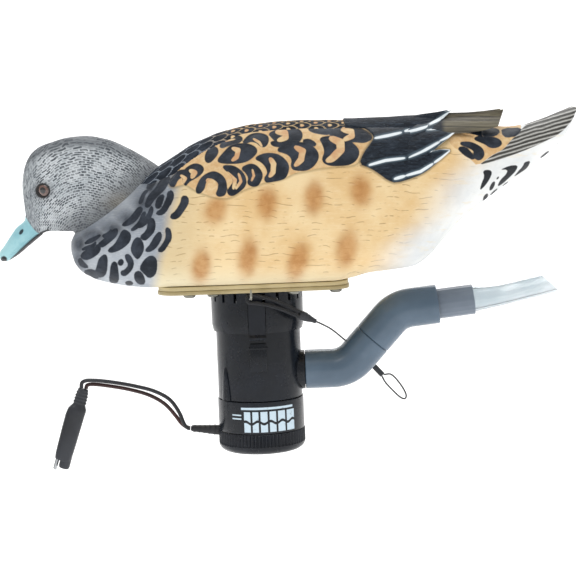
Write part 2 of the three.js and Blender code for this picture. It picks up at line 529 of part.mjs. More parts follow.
add('plug_pin', join(bar(plug(44.4, -4.5), plug(57.2, -4.5), 1.35, 8), bar(plug(57.2, -4.5), plug(58.2, -4.5), 1.35, 8, 0.8)), 0xd0d2d4, 0.25, 1);
add('plug_socket', cut(bar(plug(41, 1.0), plug(54.6, 1.0), 2.45, 12), bar(plug(43, 1.0), plug(60, 1.0), 1.7, 10)), 0xc8a35a, 0.3, 1);

const wireEnd = (e) => plug(-GAP, e);
const we0 = wireEnd(-1.5), we1 = wireEnd(1.5);
add('lead_black', tube([[-48.05, -1.5, -95.86], [-49.2, -1.5, -95.7], [-51.2, -1.45, -94.0], [-52.8, -1.4, -90.6], [-54.6, -1.35, -85.4],
  [-60.8, -1.3, -75.9], [-70.5, -1.25, -69.9], [-83.7, -1.2, -65.8], [-100.3, -1.2, -62.3], [-111, -1.2, -60.9],
  [-116.4, -1.2, -60.9], [-118.9, -1.1, -62.2], [we0[0], -1.1, we0[2]]], WIRE_D / 2, 26), 0x17181a, 0.5);
add('lead_red', tube([[-48.05, 1.5, -95.86], [-49.3, 1.5, -95.7], [-51.8, 1.5, -94.6], [-54.4, 1.5, -92.0], [-57.4, 1.5, -87.6],
  [-64.4, 1.5, -79.2], [-74, 1.5, -73.0], [-87.2, 1.5, -68.5], [-100.4, 1.5, -65.6], [-109, 1.5, -64.2],
  [-113.4, 1.5, -63.9], [-115.9, 1.4, -64.5], [we1[0], 1.3, we1[2]]], WIRE_D / 2, 26), 0x5a1f1c, 0.5);

// -------------------------------------------------------------------- tether
const c0 = V3(27.5, -30, -17.9), c1 = V3(37.9, -20, -24.2);
const cd = c1.clone().sub(c0).normalize();
const cw = V3(0, 0, 1).addScaledVector(cd, -cd.z).normalize();
const cv = cd.clone().cross(cw);
function sleeve(a, b, hw, ht, w, v, seg = 16) {
  return loft(4, seg, (row, c, s, rim) => {
    const k = [0, 0.08, 0.92, 1][row];
    const q = row === 0 || row === 3 ? 0.88 : 1;
    return a.clone().lerp(b, k).addScaledVector(w, hw * q * spow(c, 2.6) * rim).addScaledVector(v, ht * q * spow(s, 2.6) * rim).toArray();
  });
}
add('tether_crimp', sleeve(c0, c1, 3.3, 2.0, cw, cv), 0x9fa3a6, 0.35, 0.9);
const sa = c0.clone().addScaledVector(cw, 1.5).addScaledVector(cd, -GAP);
const sb = c0.clone().addScaledVector(cw, -1.5).addScaledVector(cd, -GAP);
add('tether_bungee', tube([sa.toArray(), sa.clone().addScaledVector(cd, -4).toArray(), [12, -36.9, -7.6], [4, -36.2, -5.0],
  [-1.4, -35.9, -3.8], [-3, -35.9, -3.7], [-4.9, -35.9, -4.5], [-5.65, -35.9, -6.3], [-4.9, -35.9, -8.1], [-3, -35.9, -8.9],
  [-1.2, -36.0, -8.95], [6, -37, -10.0], [14, -37, -12.6], sb.clone().addScaledVector(cd, -4).toArray(), sb.toArray()], BUNGEE_D / 2, 36), 0x16181a, 0.8);

const l0 = V3(77.4, 22, -62.1), l1 = V3(83.0, 22, -68.5);
const ld = l1.clone().sub(l0).normalize();
const lw = V3(0, 1, 0).cross(ld).normalize();
add('loop_crimp', sleeve(l0, l1, 1.9, 1.2, lw, V3(0, 1, 0), 12), 0x9fa3a6, 0.35, 0.9);
const e1 = c1.clone().addScaledVector(cd, GAP), e2 = l0.clone().addScaledVector(ld, -GAP);
add('tether_line', tube([e1.toArray(), e1.clone().addScaledVector(cd, 5).toArray(), [48.6, -3, -32.2], [56.8, 12, -41.0], [66, 20.5, -50.5],
  e2.clone().addScaledVector(ld, -4).toArray(), e2.toArray()], LINE_D / 2, 18), 0x1d1d1d, 0.7);
const su = l1.clone().addScaledVector(lw, 0.8).addScaledVector(ld, GAP), sl = l1.clone().addScaledVector(lw, -0.8).addScaledVector(ld, GAP);
const upFirst = su.x > sl.x ? [su, sl] : [sl, su];
add('tether_loop', tube([upFirst[0].toArray(), [88.6, 22, -68.2], [96.6, 22, -78], [98.6, 22, -83.6], [97.6, 22, -85.3], [95.2, 22, -84.6], [88.6, 22, -78.2], [84.4, 22, -73.0], upFirst[1].toArray()], LINE_D / 2, 26), 0x1d1d1d, 0.7);

export default group;
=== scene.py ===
import bpy
import bmesh
import math
import numpy as np
from mathutils import Vector, Matrix, Quaternion


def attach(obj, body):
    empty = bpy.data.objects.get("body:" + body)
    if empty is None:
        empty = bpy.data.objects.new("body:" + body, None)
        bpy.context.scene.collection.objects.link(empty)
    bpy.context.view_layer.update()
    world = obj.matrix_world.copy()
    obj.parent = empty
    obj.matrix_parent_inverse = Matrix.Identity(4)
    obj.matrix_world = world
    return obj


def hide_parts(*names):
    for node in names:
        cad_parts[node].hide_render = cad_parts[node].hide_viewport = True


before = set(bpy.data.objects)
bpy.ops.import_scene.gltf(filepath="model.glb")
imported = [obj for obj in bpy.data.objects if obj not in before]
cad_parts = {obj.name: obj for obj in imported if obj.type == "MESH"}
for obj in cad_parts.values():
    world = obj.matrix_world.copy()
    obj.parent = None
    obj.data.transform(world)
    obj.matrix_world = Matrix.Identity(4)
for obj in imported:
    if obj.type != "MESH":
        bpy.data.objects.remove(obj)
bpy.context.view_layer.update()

MM = 0.001
rng = np.random.default_rng(7)

# ------------------------------------------------------------------ helpers


def lin(hexcode, a=1.0):
    out = []
    for i in (0, 2, 4):
        c = int(hexcode[i:i + 2], 16) / 255
        out.append(c / 12.92 if c <= 0.04045 else ((c + 0.055) / 1.055) ** 2.4)
    return (*out, a)


def build(name, V, F, attrs=None, angle=40, flat=False, fix=True):
    me = bpy.data.meshes.new(name)
    me.from_pydata((np.asarray(V, float) * MM).tolist(), [], [list(map(int, f)) for f in F])
    if fix:
        bm = bmesh.new()
        bm.from_mesh(me)
        bmesh.ops.recalc_face_normals(bm, faces=bm.faces)
        bm.to_mesh(me)
        bm.free()
    if attrs:
        for k, a in attrs.items():
            a = np.asarray(a, dtype=np.float32)
            if a.ndim == 1:
                t = me.attributes.new(k, 'FLOAT', 'POINT')
                t.data.foreach_set('value', a)
            else:
                t = me.attributes.new(k, 'FLOAT_VECTOR', 'POINT')
                t.data.foreach_set('vector', a.ravel())
    me.shade_smooth()
    if angle is not None:
        me.set_sharp_from_angle(angle=math.radians(angle))
    ob = bpy.data.objects.new(name, me)
    bpy.context.scene.collection.objects.link(ob)
    return ob


def grid_faces(R, N, wrap_rows=False):
    i = np.arange(R if wrap_rows else R - 1)[:, None]
    j = np.arange(N)[None, :]
    k = (j + 1) % N
    a, b = i * N, ((i + 1) % R) * N
    return np.stack([a + j, a + k, b + k, b + j], -1).reshape(-1, 4)


def loft(name, P, cap0=True, cap1=True, wrap_rows=False, attrs=None, **kw):
    P = np.asarray(P, float)
    R, N, _ = P.shape
    V = P.reshape(-1, 3)
    F = grid_faces(R, N, wrap_rows).tolist()
    extra = []
    if not wrap_rows:
        for flag, row in ((cap0, 0), (cap1, R - 1)):
            if flag:
                c = len(V) + len(extra)
                extra.append(P[row].mean(0))
                F += [[row * N + j, row * N + (j + 1) % N, c] for j in range(N)]
    if extra:
        V = np.vstack([V, extra])
        if attrs:
            attrs = {k: np.concatenate([a, np.repeat(a[-1:], len(extra), 0)]) for k, a in attrs.items()}
    return build(name, V, F, attrs=attrs, **kw)


def circle(n, phase=0.0):
    t = np.linspace(0, 2 * np.pi, n, endpoint=False) + phase
    return np.cos(t), np.sin(t)


def revolve(name, prof, seg=96, mod=None, centre=(0, 0), hollow=True, **kw):
    """profile of [r, z] about +Z; closed on itself when hollow"""
    c, s = circle(seg)
    P = []
    for i, (r, z) in enumerate(prof):
        rr = np.full(seg, float(r))
        zz = np.full(seg, float(z))
        if mod:
            rr, zz = mod(i, rr, zz, c, s)
        P.append(np.stack([rr * c + centre[0], rr * s + centre[1], zz], -1))
    return loft(name, P, wrap_rows=hollow, **kw)


def soften(prof, r=0.35, n=3, closed=True, keep=()):
    """rounds the corners of a polyline profile"""
    pts = [np.array(p, float) for p in prof]
    out = []
    m = len(pts)
    for i in range(m):
        if (not closed and i in (0, m - 1)) or i in keep:
            out.append(pts[i])
            continue
        a, b, c = pts[i - 1], pts[i], pts[(i + 1) % m]
        u, v = a - b, c - b
        lu, lv = np.linalg.norm(u), np.linalg.norm(v)
        if lu < 1e-6 or lv < 1e-6:
            continue
        k = min(r, lu * 0.45, lv * 0.45)
        p, q = b + u / lu * k, b + v / lv * k
        for j in range(n + 1):
            t = j / n
            out.append((1 - t) ** 2 * p + 2 * t * (1 - t) * b + t * t * q)
    return [tuple(p) for p in out]


class Path:
    """polyline path in the XZ plane, with rounded corners already in the points"""

    def __init__(self, pts):
        self.p = np.array(pts, float)
        d = np.linalg.norm(np.diff(self.p, axis=0), axis=1)
        self.s = np.concatenate([[0], np.cumsum(d)])
        t = np.diff(self.p, axis=0) / d[:, None]
        tv = np.vstack([t[:1], (t[:-1] + t[1:]) / 2, t[-1:]])
        self.t = tv / np.linalg.norm(tv, axis=1)[:, None]
        self.L = self.s[-1]

    def at(self, s):
        if s < 0:
            return self.p[0] + self.t[0] * s, self.t[0]
        if s > self.L:
            return self.p[-1] + self.t[-1] * (s - self.L), self.t[-1]
        x = np.array([np.interp(s, self.s, self.p[:, k]) for k in range(2)])
        t = np.array([np.interp(s, self.s, self.t[:, k]) for k in range(2)])
        return x, t / np.linalg.norm(t)


def bend_path(a, v, b, radius, n=24):
    a, v, b = map(lambda q: np.array(q, float), (a, v, b))
    d0, d1 = (a - v) / np.linalg.norm(a - v), (b - v) / np.linalg.norm(b - v)
    half = math.acos(np.clip(d0 @ d1, -1, 1)) / 2
    t = radius / math.tan(half)
    P, Q = v + d0 * t, v + d1 * t
    m = (d0 + d1) / np.linalg.norm(d0 + d1)
    C = v + m * radius / math.sin(half)
    w, e = P - C, Q - C
    ang = math.acos(np.clip((w @ e) / radius ** 2, -1, 1))
    arc = [C + (w * math.sin((1 - k) * ang) + e * math.sin(k * ang)) / math.sin(ang) for k in np.linspace(0, 1, n)]
    lead = [a + (P - a) * k for k in np.linspace(0, 1, 5)[:-1]]
    tail = [Q + (b - Q) * k for k in np.linspace(0, 1, 5)[1:]]
    return Path(lead + arc + tail)


def sweep(name, path, prof, seg=72, step=1.2, mod=None, **kw):
    """closed profile of [s, r] swept round a planar path"""
    full = []
    m = len(prof)
    for i in range(m):
        a, b = np.array(prof[i], float), np.array(prof[(i + 1) % m], float)
        n = max(1, int(math.ceil(abs(b[0] - a[0]) / step)))
        full += [a + (b - a) * k / n for k in range(n)]
    c, s = circle(seg)
    P = []
    for q in full:
        x, t = path.at(q[0])
        N = np.array([-t[1], t[0]])
        r = q[1]
        ring = np.stack([x[0] + N[0] * r * c, r * s, x[1] + N[1] * r * c], -1)
        if mod is not None:
            ring = mod(ring, q[0], r)
        P.append(ring)
    return loft(name, P, wrap_rows=True, **kw)


def catmull(points, n):
    """centripetal Catmull-Rom through the points, n samples evenly spaced along it"""
    p = np.array(points, float)
    p = np.vstack([2 * p[0] - p[1], p, 2 * p[-1] - p[-2]])
    out = []
    for i in range(1, len(p) - 2):
        p0, p1, p2, p3 = p[i - 1:i + 3]
        t0 = 0.0
        t1 = t0 + np.linalg.norm(p1 - p0) ** 0.5
        t2 = t1 + np.linalg.norm(p2 - p1) ** 0.5
        t3 = t2 + np.linalg.norm(p3 - p2) ** 0.5
        for t in np.linspace(t1, t2, 25)[: -1 if i < len(p) - 3 else None]:
            A1 = (t1 - t) / (t1 - t0) * p0 + (t - t0) / (t1 - t0) * p1
            A2 = (t2 - t) / (t2 - t1) * p1 + (t - t1) / (t2 - t1) * p2
            A3 = (t3 - t) / (t3 - t2) * p2 + (t - t2) / (t3 - t2) * p3
            B1 = (t2 - t) / (t2 - t0) * A1 + (t - t0) / (t2 - t0) * A2
            B2 = (t3 - t) / (t3 - t1) * A2 + (t - t1) / (t3 - t1) * A3
            out.append((t2 - t) / (t2 - t1) * B1 + (t - t1) / (t2 - t1) * B2)
    out = np.array(out)
    d = np.concatenate([[0], np.cumsum(np.linalg.norm(np.diff(out, axis=0), axis=1))])
    u = np.linspace(0, d[-1], n)
    return np.stack([np.interp(u, d, out[:, k]) for k in range(3)], -1), d[-1]


def tube(name, pts, r, n, sides=16, **kw):
    P, L = catmull(pts, n)
    T = np.gradient(P, axis=0)
    T /= np.linalg.norm(T, axis=1)[:, None]
    ref = np.array([0.0, 1.0, 0.0]) if abs(T[0][1]) < 0.9 else np.array([1.0, 0, 0])
    N = ref - T[0] * (ref @ T[0])
    N /= np.linalg.norm(N)
    c, s = circle(sides)
    rings = []
    for i in range(n):
        N = N - T[i] * (N @ T[i])
        N /= np.linalg.norm(N)
        B = np.cross(T[i], N)
        rr = r(i / (n - 1)) if callable(r) else r
        rings.append(P[i] + rr * (c[:, None] * N + s[:, None] * B))
    ang = np.tile(np.arange(sides) / sides, n)
    al = np.repeat(np.linspace(0, L, n), sides)
    return loft(name, rings, attrs={'along': al, 'around': ang}, **kw), P, L


def pchip(x, y, q):
    x, y = np.asarray(x, float), np.asarray(y, float)
    h = np.diff(x)
    d = np.diff(y) / h
    m = np.zeros(len(x))
    for i in range(1, len(x) - 1):
        if d[i - 1] * d[i] > 0:
            w1, w2 = 2 * h[i] + h[i - 1], h[i] + 2 * h[i - 1]
            m[i] = (w1 + w2) / (w1 / d[i - 1] + w2 / d[i])
    m[0], m[-1] = d[0], d[-1]
    i = np.clip(np.searchsorted(x, q) - 1, 0, len(x) - 2)
    t = (q - x[i]) / h[i]
    return ((1 + 2 * t) * (1 - t) ** 2 * y[i] + t * (1 - t) ** 2 * h[i] * m[i]
            + t * t * (3 - 2 * t) * y[i + 1] + t * t * (t - 1) * h[i] * m[i + 1])


def smooth01(a, b, x):
    t = np.clip((x - a) / (b - a), 0, 1)
    return t * t * (3 - 2 * t)


# ---------------------------------------------------------------- materials


class G:
    """small helper round a node tree"""

    def __init__(self, name):
        self.m = bpy.data.materials.new(name)
        self.m.use_nodes = True
        self.t = self.m.node_tree
        self.n = self.t.nodes
        self.bsdf = self.n['Principled BSDF']

    def new(self, kind, **props):
        nd = self.n.new(kind)
        for k, v in props.items():
            setattr(nd, k, v)
        return nd

    def link(self, a, b):
        self.t.links.new(a, b)

    def put(self, sock, v):
        if isinstance(v, bpy.types.NodeSocket):
            self.link(v, sock)
        else:
            sock.default_value = v

    def attr(self, name):
        nd = self.new('ShaderNodeAttribute', attribute_type='GEOMETRY', attribute_name=name)
        return nd.outputs['Fac']

    def vec(self, name):
        nd = self.new('ShaderNodeAttribute', attribute_type='GEOMETRY', attribute_name=name)
        return nd.outputs['Vector']

    def obj(self):
        return self.new('ShaderNodeTexCoord').outputs['Object']

    def scaled(self, s, src=None, rot=(0, 0, 0)):
        nd = self.new('ShaderNodeMapping')
        self.link(src if src is not None else self.obj(), nd.inputs['Vector'])
        nd.inputs['Scale'].default_value = s if isinstance(s, tuple) else (s, s, s)
        nd.inputs['Rotation'].default_value = rot
        return nd.outputs['Vector']

    def noise(self, scale, detail=3, rough=0.55, src=None, dist=0.0):
        nd = self.new('ShaderNodeTexNoise')
        nd.inputs['Scale'].default_value = scale
        nd.inputs['Detail'].default_value = detail
        nd.inputs['Roughness'].default_value = rough
        nd.inputs['Distortion'].default_value = dist
        self.link(src if src is not None else self.obj(), nd.inputs['Vector'])
        return nd.outputs['Fac']

    def rng(self, v, a, b, c=0.0, d=1.0, smooth=True):
        nd = self.new('ShaderNodeMapRange')
        nd.interpolation_type = 'SMOOTHSTEP' if smooth else 'LINEAR'
        self.put(nd.inputs['Value'], v)
        nd.inputs['From Min'].default_value = a
        nd.inputs['From Max'].default_value = b
        nd.inputs['To Min'].default_value = c
        nd.inputs['To Max'].default_value = d
        return nd.outputs['Result']

    def math(self, op, a, b=None, c=None):
        nd = self.new('ShaderNodeMath', operation=op)
        self.put(nd.inputs[0], a)
        if b is not None:
            self.put(nd.inputs[1], b)
        if c is not None:
            self.put(nd.inputs[2], c)
        return nd.outputs[0]

    def mix(self, f, a, b, mode='MIX'):
        nd = self.new('ShaderNodeMix', data_type='RGBA', blend_type=mode)
        self.put(nd.inputs[0], f)
        self.put(nd.inputs[6], a)
        self.put(nd.inputs[7], b)
        return nd.outputs[2]

    def bump(self, h, strength=0.3, dist=0.0004, normal=None):
        nd = self.new('ShaderNodeBump')
        nd.inputs['Strength'].default_value = strength
        nd.inputs['Distance'].default_value = dist
        self.link(h, nd.inputs['Height'])
        if normal is not None:
            self.link(normal, nd.inputs['Normal'])
        return nd.outputs['Normal']

    def set(self, key, v):
        self.put(self.bsdf.inputs[key], v)
        return self


def plain(name, hexa, hexb, rough=(0.35, 0.5), metal=0.0, scale=300, bump=0.15, bdist=0.0002, big=25, coat=0.0, spec=None):
    """two-tone material with fine grain, slow colour drift and a little wear"""
    g = G(name)
    f = g.rng(g.noise(big, 4, 0.6), 0.35, 0.68)
    fine = g.noise(scale, 3, 0.6)
    col = g.mix(f, lin(hexa), lin(hexb))
    spot = g.rng(g.noise(big * 6, 5, 0.7), 0.62, 0.78)
    col = g.mix(g.math('MULTIPLY', spot, 0.25), col, lin(hexb))
    g.set('Base Color', col)
    g.set('Roughness', g.rng(g.noise(big * 3, 4, 0.65), 0.3, 0.7, rough[0], rough[1]))
    g.bsdf.inputs['Metallic'].default_value = metal
    if coat:
        g.bsdf.inputs['Coat Weight'].default_value = coat
        g.bsdf.inputs['Coat Roughness'].default_value = 0.15
    if spec is not None:
        g.bsdf.inputs['Specular IOR Level'].default_value = spec
    g.set('Normal', g.bump(fine, bump, bdist))
    return g.m


def give(ob, mat):
    ob.data.materials.clear()
    ob.data.materials.append(mat)


def cad(node, mat):
    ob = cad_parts[node]
    ob.data.materials.clear()
    ob.data.materials.append(mat)


# ---------------------------------------------------- camera, light, floor
CAM_D, CAM_E, CAM_RHO, CAM_F = 1300.0, math.radians(6.5), math.radians(2.2), 1300.0 / 0.665
TGT = np.array([21.0, 0.0, -4.0])
cB = np.array([0, -math.cos(CAM_E), math.sin(CAM_E)])
cR0, cU0 = np.array([1.0, 0, 0]), np.array([0, math.sin(CAM_E), math.cos(CAM_E)])
cR = cR0 * math.cos(CAM_RHO) - cU0 * math.sin(CAM_RHO)
cU = cR0 * math.sin(CAM_RHO) + cU0 * math.cos(CAM_RHO)

cam_data = bpy.data.cameras.new("camera")
cam_data.sensor_width = 36
cam_data.lens = CAM_F * 36 / 576
cam_data.clip_start = 0.05
cam_data.clip_end = 20
cam = bpy.data.objects.new("camera", cam_data)
bpy.context.scene.collection.objects.link(cam)
loc = (TGT + CAM_D * cB) * MM
cam.matrix_world = Matrix(((cR[0], cU[0], cB[0], loc[0]), (cR[1], cU[1], cB[1], loc[1]), (cR[2], cU[2], cB[2], loc[2]), (0, 0, 0, 1)))
bpy.context.scene.camera = cam


def project(P):
    """side-view coordinates of a point, mirrored so that both flanks read the same paint plan"""
    q = np.array(P, float) - TGT
    q[..., 1] = -np.abs(P[..., 1])
    w = CAM_D - q @ cB
    return 288 + CAM_F * (q @ cR) / w, 288 - CAM_F * (q @ cU) / w


def unproject(u, v, y):
    """point on the plane Y = y that falls at side-view coordinates u, v"""
    d = cR * (u - 288) / CAM_F - cU * (v - 288) / CAM_F - cB
    o = TGT + CAM_D * cB
    k = (y - o[1]) / d[1]
    return o + d * k


# cords -------------------------------------------------------------------
WIRE_D, BUNGEE_D, LINE_D = 2.6, 2.5, 1.1
GAP = 0.3
PT, pd, pe = np.array([-118.2, -66.5]), np.array([-0.305, -0.9523]), np.array([0.9523, -0.305])


def plug(t, e, y=0.0):
    q = PT + pd * t + pe * e
    return np.array([q[0], y, q[1]])


we0, we1 = plug(-GAP, -1.5), plug(-GAP, 1.5)
BLACK = [(-48.05, -1.5, -95.86), (-49.2, -1.5, -95.7), (-51.2, -1.45, -94.0), (-52.8, -1.4, -90.6), (-54.6, -1.35, -85.4),
         (-60.8, -1.3, -75.9), (-70.5, -1.25, -69.9), (-83.7, -1.2, -65.8), (-100.3, -1.2, -62.3), (-111, -1.2, -60.9),
         (-116.4, -1.2, -60.9), (-118.9, -1.1, -62.2), (we0[0], -1.1, we0[2])]
RED = [(-48.05, 1.5, -95.86), (-49.3, 1.5, -95.7), (-51.8, 1.5, -94.6), (-54.4, 1.5, -92.0), (-57.4, 1.5, -87.6),
       (-64.4, 1.5, -79.2), (-74, 1.5, -73.0), (-87.2, 1.5, -68.5), (-100.4, 1.5, -65.6), (-109, 1.5, -64.2),
       (-113.4, 1.5, -63.9), (-115.9, 1.4, -64.5), (we1[0], 1.3, we1[2])]

c0, c1 = np.array([27.5, -30, -17.9]), np.array([37.9, -20, -24.2])
cd = (c1 - c0) / np.linalg.norm(c1 - c0)
cw = np.array([0, 0, 1.0]) - cd * cd[2]
cw /= np.linalg.norm(cw)
cv = np.cross(cd, cw)
sa, sb = c0 + cw * 1.5 - cd * GAP, c0 - cw * 1.5 - cd * GAP
BUNGEE = [sa, sa - cd * 4, (12, -36.9, -7.6), (4, -36.2, -5.0), (-1.4, -35.9, -3.8), (-3, -35.9, -3.7), (-4.9, -35.9, -4.5),
          (-5.65, -35.9, -6.3), (-4.9, -35.9, -8.1), (-3, -35.9, -8.9), (-1.2, -36.0, -8.95), (6, -37, -10.0), (14, -37, -12.6),
          sb - cd * 4, sb]
l0, l1 = np.array([77.4, 22, -62.1]), np.array([83.0, 22, -68.5])
ld = (l1 - l0) / np.linalg.norm(l1 - l0)
lw = np.cross([0, 1, 0], ld)
lw /= np.linalg.norm(lw)
e1, e2 = c1 + cd * GAP, l0 - ld * GAP
LINE = [e1, e1 + cd * 5, (48.6, -3, -32.2), (56.8, 12, -41.0), (66, 20.5, -50.5), e2 - ld * 4, e2]
su, sl = l1 + lw * 0.8 + ld * GAP, l1 - lw * 0.8 + ld * GAP
if su[0] < sl[0]:
    su, sl = sl, su
LOOP = [su, (88.6, 22, -68.2), (96.6, 22, -78), (98.6, 22, -83.6), (97.6, 22, -85.3), (95.2, 22, -84.6), (88.6, 22, -78.2), (84.4, 22, -73.0), sl]

lead_black, pb, Lb = tube("lead_black_fine", BLACK, WIRE_D / 2, 140, 20)
lead_red, pr, Lr = tube("lead_red_fine", RED, WIRE_D / 2, 140, 20)
bungee, pbu, Lbu = tube("tether_bungee_fine", BUNGEE, BUNGEE_D / 2, 200, 28)
line, pl, Ll = tube("tether_line_fine", LINE, LINE_D / 2, 120, 12)
loop, plo, Llo = tube("tether_loop_fine", LOOP, LINE_D / 2, 120, 12)

for ob, pts, L, ex, dia, end, stiff, body, node in (
        (lead_black, pb, Lb, BLACK[0], WIRE_D, "plug", "medium", "motor_unit", "lead_black"),
        (lead_red, pr, Lr, RED[0], WIRE_D, "plug", "medium", "motor_unit", "lead_red"),
        (bungee, pbu, Lbu, BUNGEE[0], BUNGEE_D, "object", "medium", "decoy", "tether_bungee"),
        (line, pl, Ll, LINE[0], LINE_D, "fitting", "stiff", "decoy", "tether_line"),
        (loop, plo, Llo, LOOP[0], LINE_D, "object", "stiff", "decoy", "tether_loop")):
    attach(ob, body)
    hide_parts(node)

# --------------------------------------------------------------- hull form
ST = np.array([[-121, 33.5, 24, 6, 28.5, 2, 2], [-118, 38.5, 17, 22, 28, 2, 2], [-113, 42.5, 12, 34, 28, 2, 2.2], [-105, 48.5, 8, 43, 29, 2, 2.5],
               [-95, 56, 5.5, 50, 31, 2, 2.8], [-80, 67, 3, 57, 34, 2.05, 3.1], [-66, 77.5, 2, 62, 37, 2.1, 3.2], [-55, 84, 2, 64.5, 39, 2.1, 3.2],
               [-40, 93, 2, 67, 41, 2.1, 3.2], [-20, 101, 2, 69.5, 42, 2.1, 3.2], [5, 105.8, 2, 70, 42, 2.1, 3.2], [30, 107, 2, 70, 42, 2.1, 3.2],
               [50, 106.5, 2, 69.5, 43, 2.1, 3.2], [62, 106, 3.8, 69, 43.5, 2.1, 3.2], [75, 105.6, 6.6, 66.5, 45, 2.1, 3.1], [90, 105.6, 7.6, 62.5, 48, 2.1, 3],
               [103, 106, 8.8, 57, 52, 2.1, 2.8], [113, 106, 14.0, 52.5, 57, 2.1, 2.6], [124, 105, 24.9, 47.5, 63, 2.15, 2.3], [137, 102.5, 38.0, 42, 71, 2.2, 2.1],
               [150, 99.8, 47.8, 36.5, 76, 2.2, 2], [161, 97.8, 55.3, 33, 80, 2.2, 1.9], [170, 97, 61.3, 31, 83, 2.1, 1.8], [180, 98, 67.5, 29.5, 86.3, 2, 1.7],
               [190, 100.8, 74.8, 27, 91, 2, 1.6], [200, 104.4, 82.5, 25, 96, 2, 1.6], [208, 107.2, 92.5, 22, 102.2, 2, 1.7], [213.2, 109.0, 105, 16, 107.8, 2, 2]])


def spow(v, n):
    return np.sign(v) * np.abs(v) ** (2.0 / n)


def hull_rings(rows, seg):
    fine = np.linspace(ST[0, 0], ST[-1, 0], 1400)
    cols = [pchip(ST[:, 0], ST[:, k], fine) for k in range(1, 7)]
    # rows spread by the length of the top line, so that the steep ends stay well covered
    dl = np.hypot(np.diff(fine), 0.55 * np.diff(cols[0])) + 0.35 * np.abs(np.diff(cols[2]))
    s = np.concatenate([[0], np.cumsum(dl)])
    xs = np.interp(np.linspace(0, s[-1], rows), s, fine)
    P = np.zeros((rows, seg, 3))
    nt = int(seg * 0.64)
    nb = seg - nt
    for i, x in enumerate(xs):
        zt, zb, h, zc, et, eb = [np.interp(x, fine, c) for c in cols]
        a = np.linspace(0, np.pi, 721)
        y, z = h * spow(np.cos(a), et), zc + (zt - zc) * spow(np.sin(a), et)
        d = np.concatenate([[0], np.cumsum(np.hypot(np.diff(y), np.diff(z)))])
        u = np.linspace(0, d[-1], nt, endpoint=False)
        P[i, :nt, 1], P[i, :nt, 2] = np.interp(u, d, y), np.interp(u, d, z)
        y, z = -h * spow(np.cos(a), eb), zc - (zc - zb) * spow(np.sin(a), eb)
        d = np.concatenate([[0], np.cumsum(np.hypot(np.diff(y), np.diff(z)))])
        # the hidden underside takes fewer points than its length would give
        w = np.where(z[1:] < zb + 1.2, 0.45, 1.0) * np.diff(d) + 1e-6
        ww = np.concatenate([[0], np.cumsum(w)])
        u = np.linspace(0, ww[-1], nb, endpoint=False)
        P[i, nt:, 1], P[i, nt:, 2] = np.interp(u, ww, y), np.interp(u, ww, z)
        P[i, :, 0] = x
    return P


# --------------------------------------------------------- paint by distance
def sd_line(u, v, pts, r, taper=True):
    """signed distance (positive inside) of a stroke through the points; tapers to both ends"""
    pts = [np.array(p, float) for p in pts]
    L = [0.0]
    for a, b in zip(pts, pts[1:]):
        L.append(L[-1] + float(np.linalg.norm(b - a)))
    best = np.full(u.shape, -1e3)
    for k, (a, b) in enumerate(zip(pts, pts[1:])):
        d = b - a
        q = max(float(d @ d), 1e-9)
        t = np.clip(((u - a[0]) * d[0] + (v - a[1]) * d[1]) / q, 0, 1)
        dist = np.hypot(u - a[0] - t * d[0], v - a[1] - t * d[1])
        if taper:
            w = (L[k] + t * (L[k + 1] - L[k])) / max(L[-1], 1e-9)
            rr = r * (0.58 + 0.42 * np.sqrt(np.clip(4 * w * (1 - w), 0, 1)))
        else:
            rr = r
        best = np.maximum(best, rr - dist)
    return best


def chaikin(pts, n=2):
    p = np.array(pts, float)
    for _ in range(n):
        q = np.roll(p, -1, 0)
        p = np.stack([0.75 * p + 0.25 * q, 0.25 * p + 0.75 * q], 1).reshape(-1, 2)
    return p


def sd_poly(u, v, pts, n=2):
    p = chaikin(pts, n) if n else np.array(pts, float)
    q = np.roll(p, -1, 0)
    best = np.full(u.shape, 1e9)
    inside = np.zeros(u.shape, bool)
    for a, b in zip(p, q):
        d = b - a
        k = max(float(d @ d), 1e-9)
        t = np.clip(((u - a[0]) * d[0] + (v - a[1]) * d[1]) / k, 0, 1)
        best = np.minimum(best, np.hypot(u - a[0] - t * d[0], v - a[1] - t * d[1]))
        if a[1] != b[1]:
            cross = ((a[1] > v) != (b[1] > v)) & (u < (b[0] - a[0]) * (v - a[1]) / (b[1] - a[1]) + a[0])
            inside ^= cross
    return np.where(inside, best, -best)


def near(u, v, pts, pad):
    p = np.array(pts, float)
    return (u > p[:, 0].min() - pad) & (u < p[:, 0].max() + pad) & (v > p[:, 1].min() - pad) & (v < p[:, 1].max() + pad)


def union(u, v, shapes, pad=14, far=-12.0):
    """best signed distance over many shapes, each worked out only near itself"""
    out = np.full(u.shape, far)
    for kind, pts, *r in shapes:
        m = near(u, v, pts, pad)
        if not m.any():
            continue
        if kind == 'p':
            d = sd_poly(u[m], v[m], pts, r[0] if r else 2)
        else:
            d = sd_line(u[m], v[m], pts, r[0])
        out[m] = np.maximum(out[m], d)
    return out


def A(*p):                      # left plan
    return [(60 + x / 4, 120 + y / 4) for x, y in p]


def C(*p):                      # right plan
    return [(270 + x / 4, 90 + y / 4) for x, y in p]


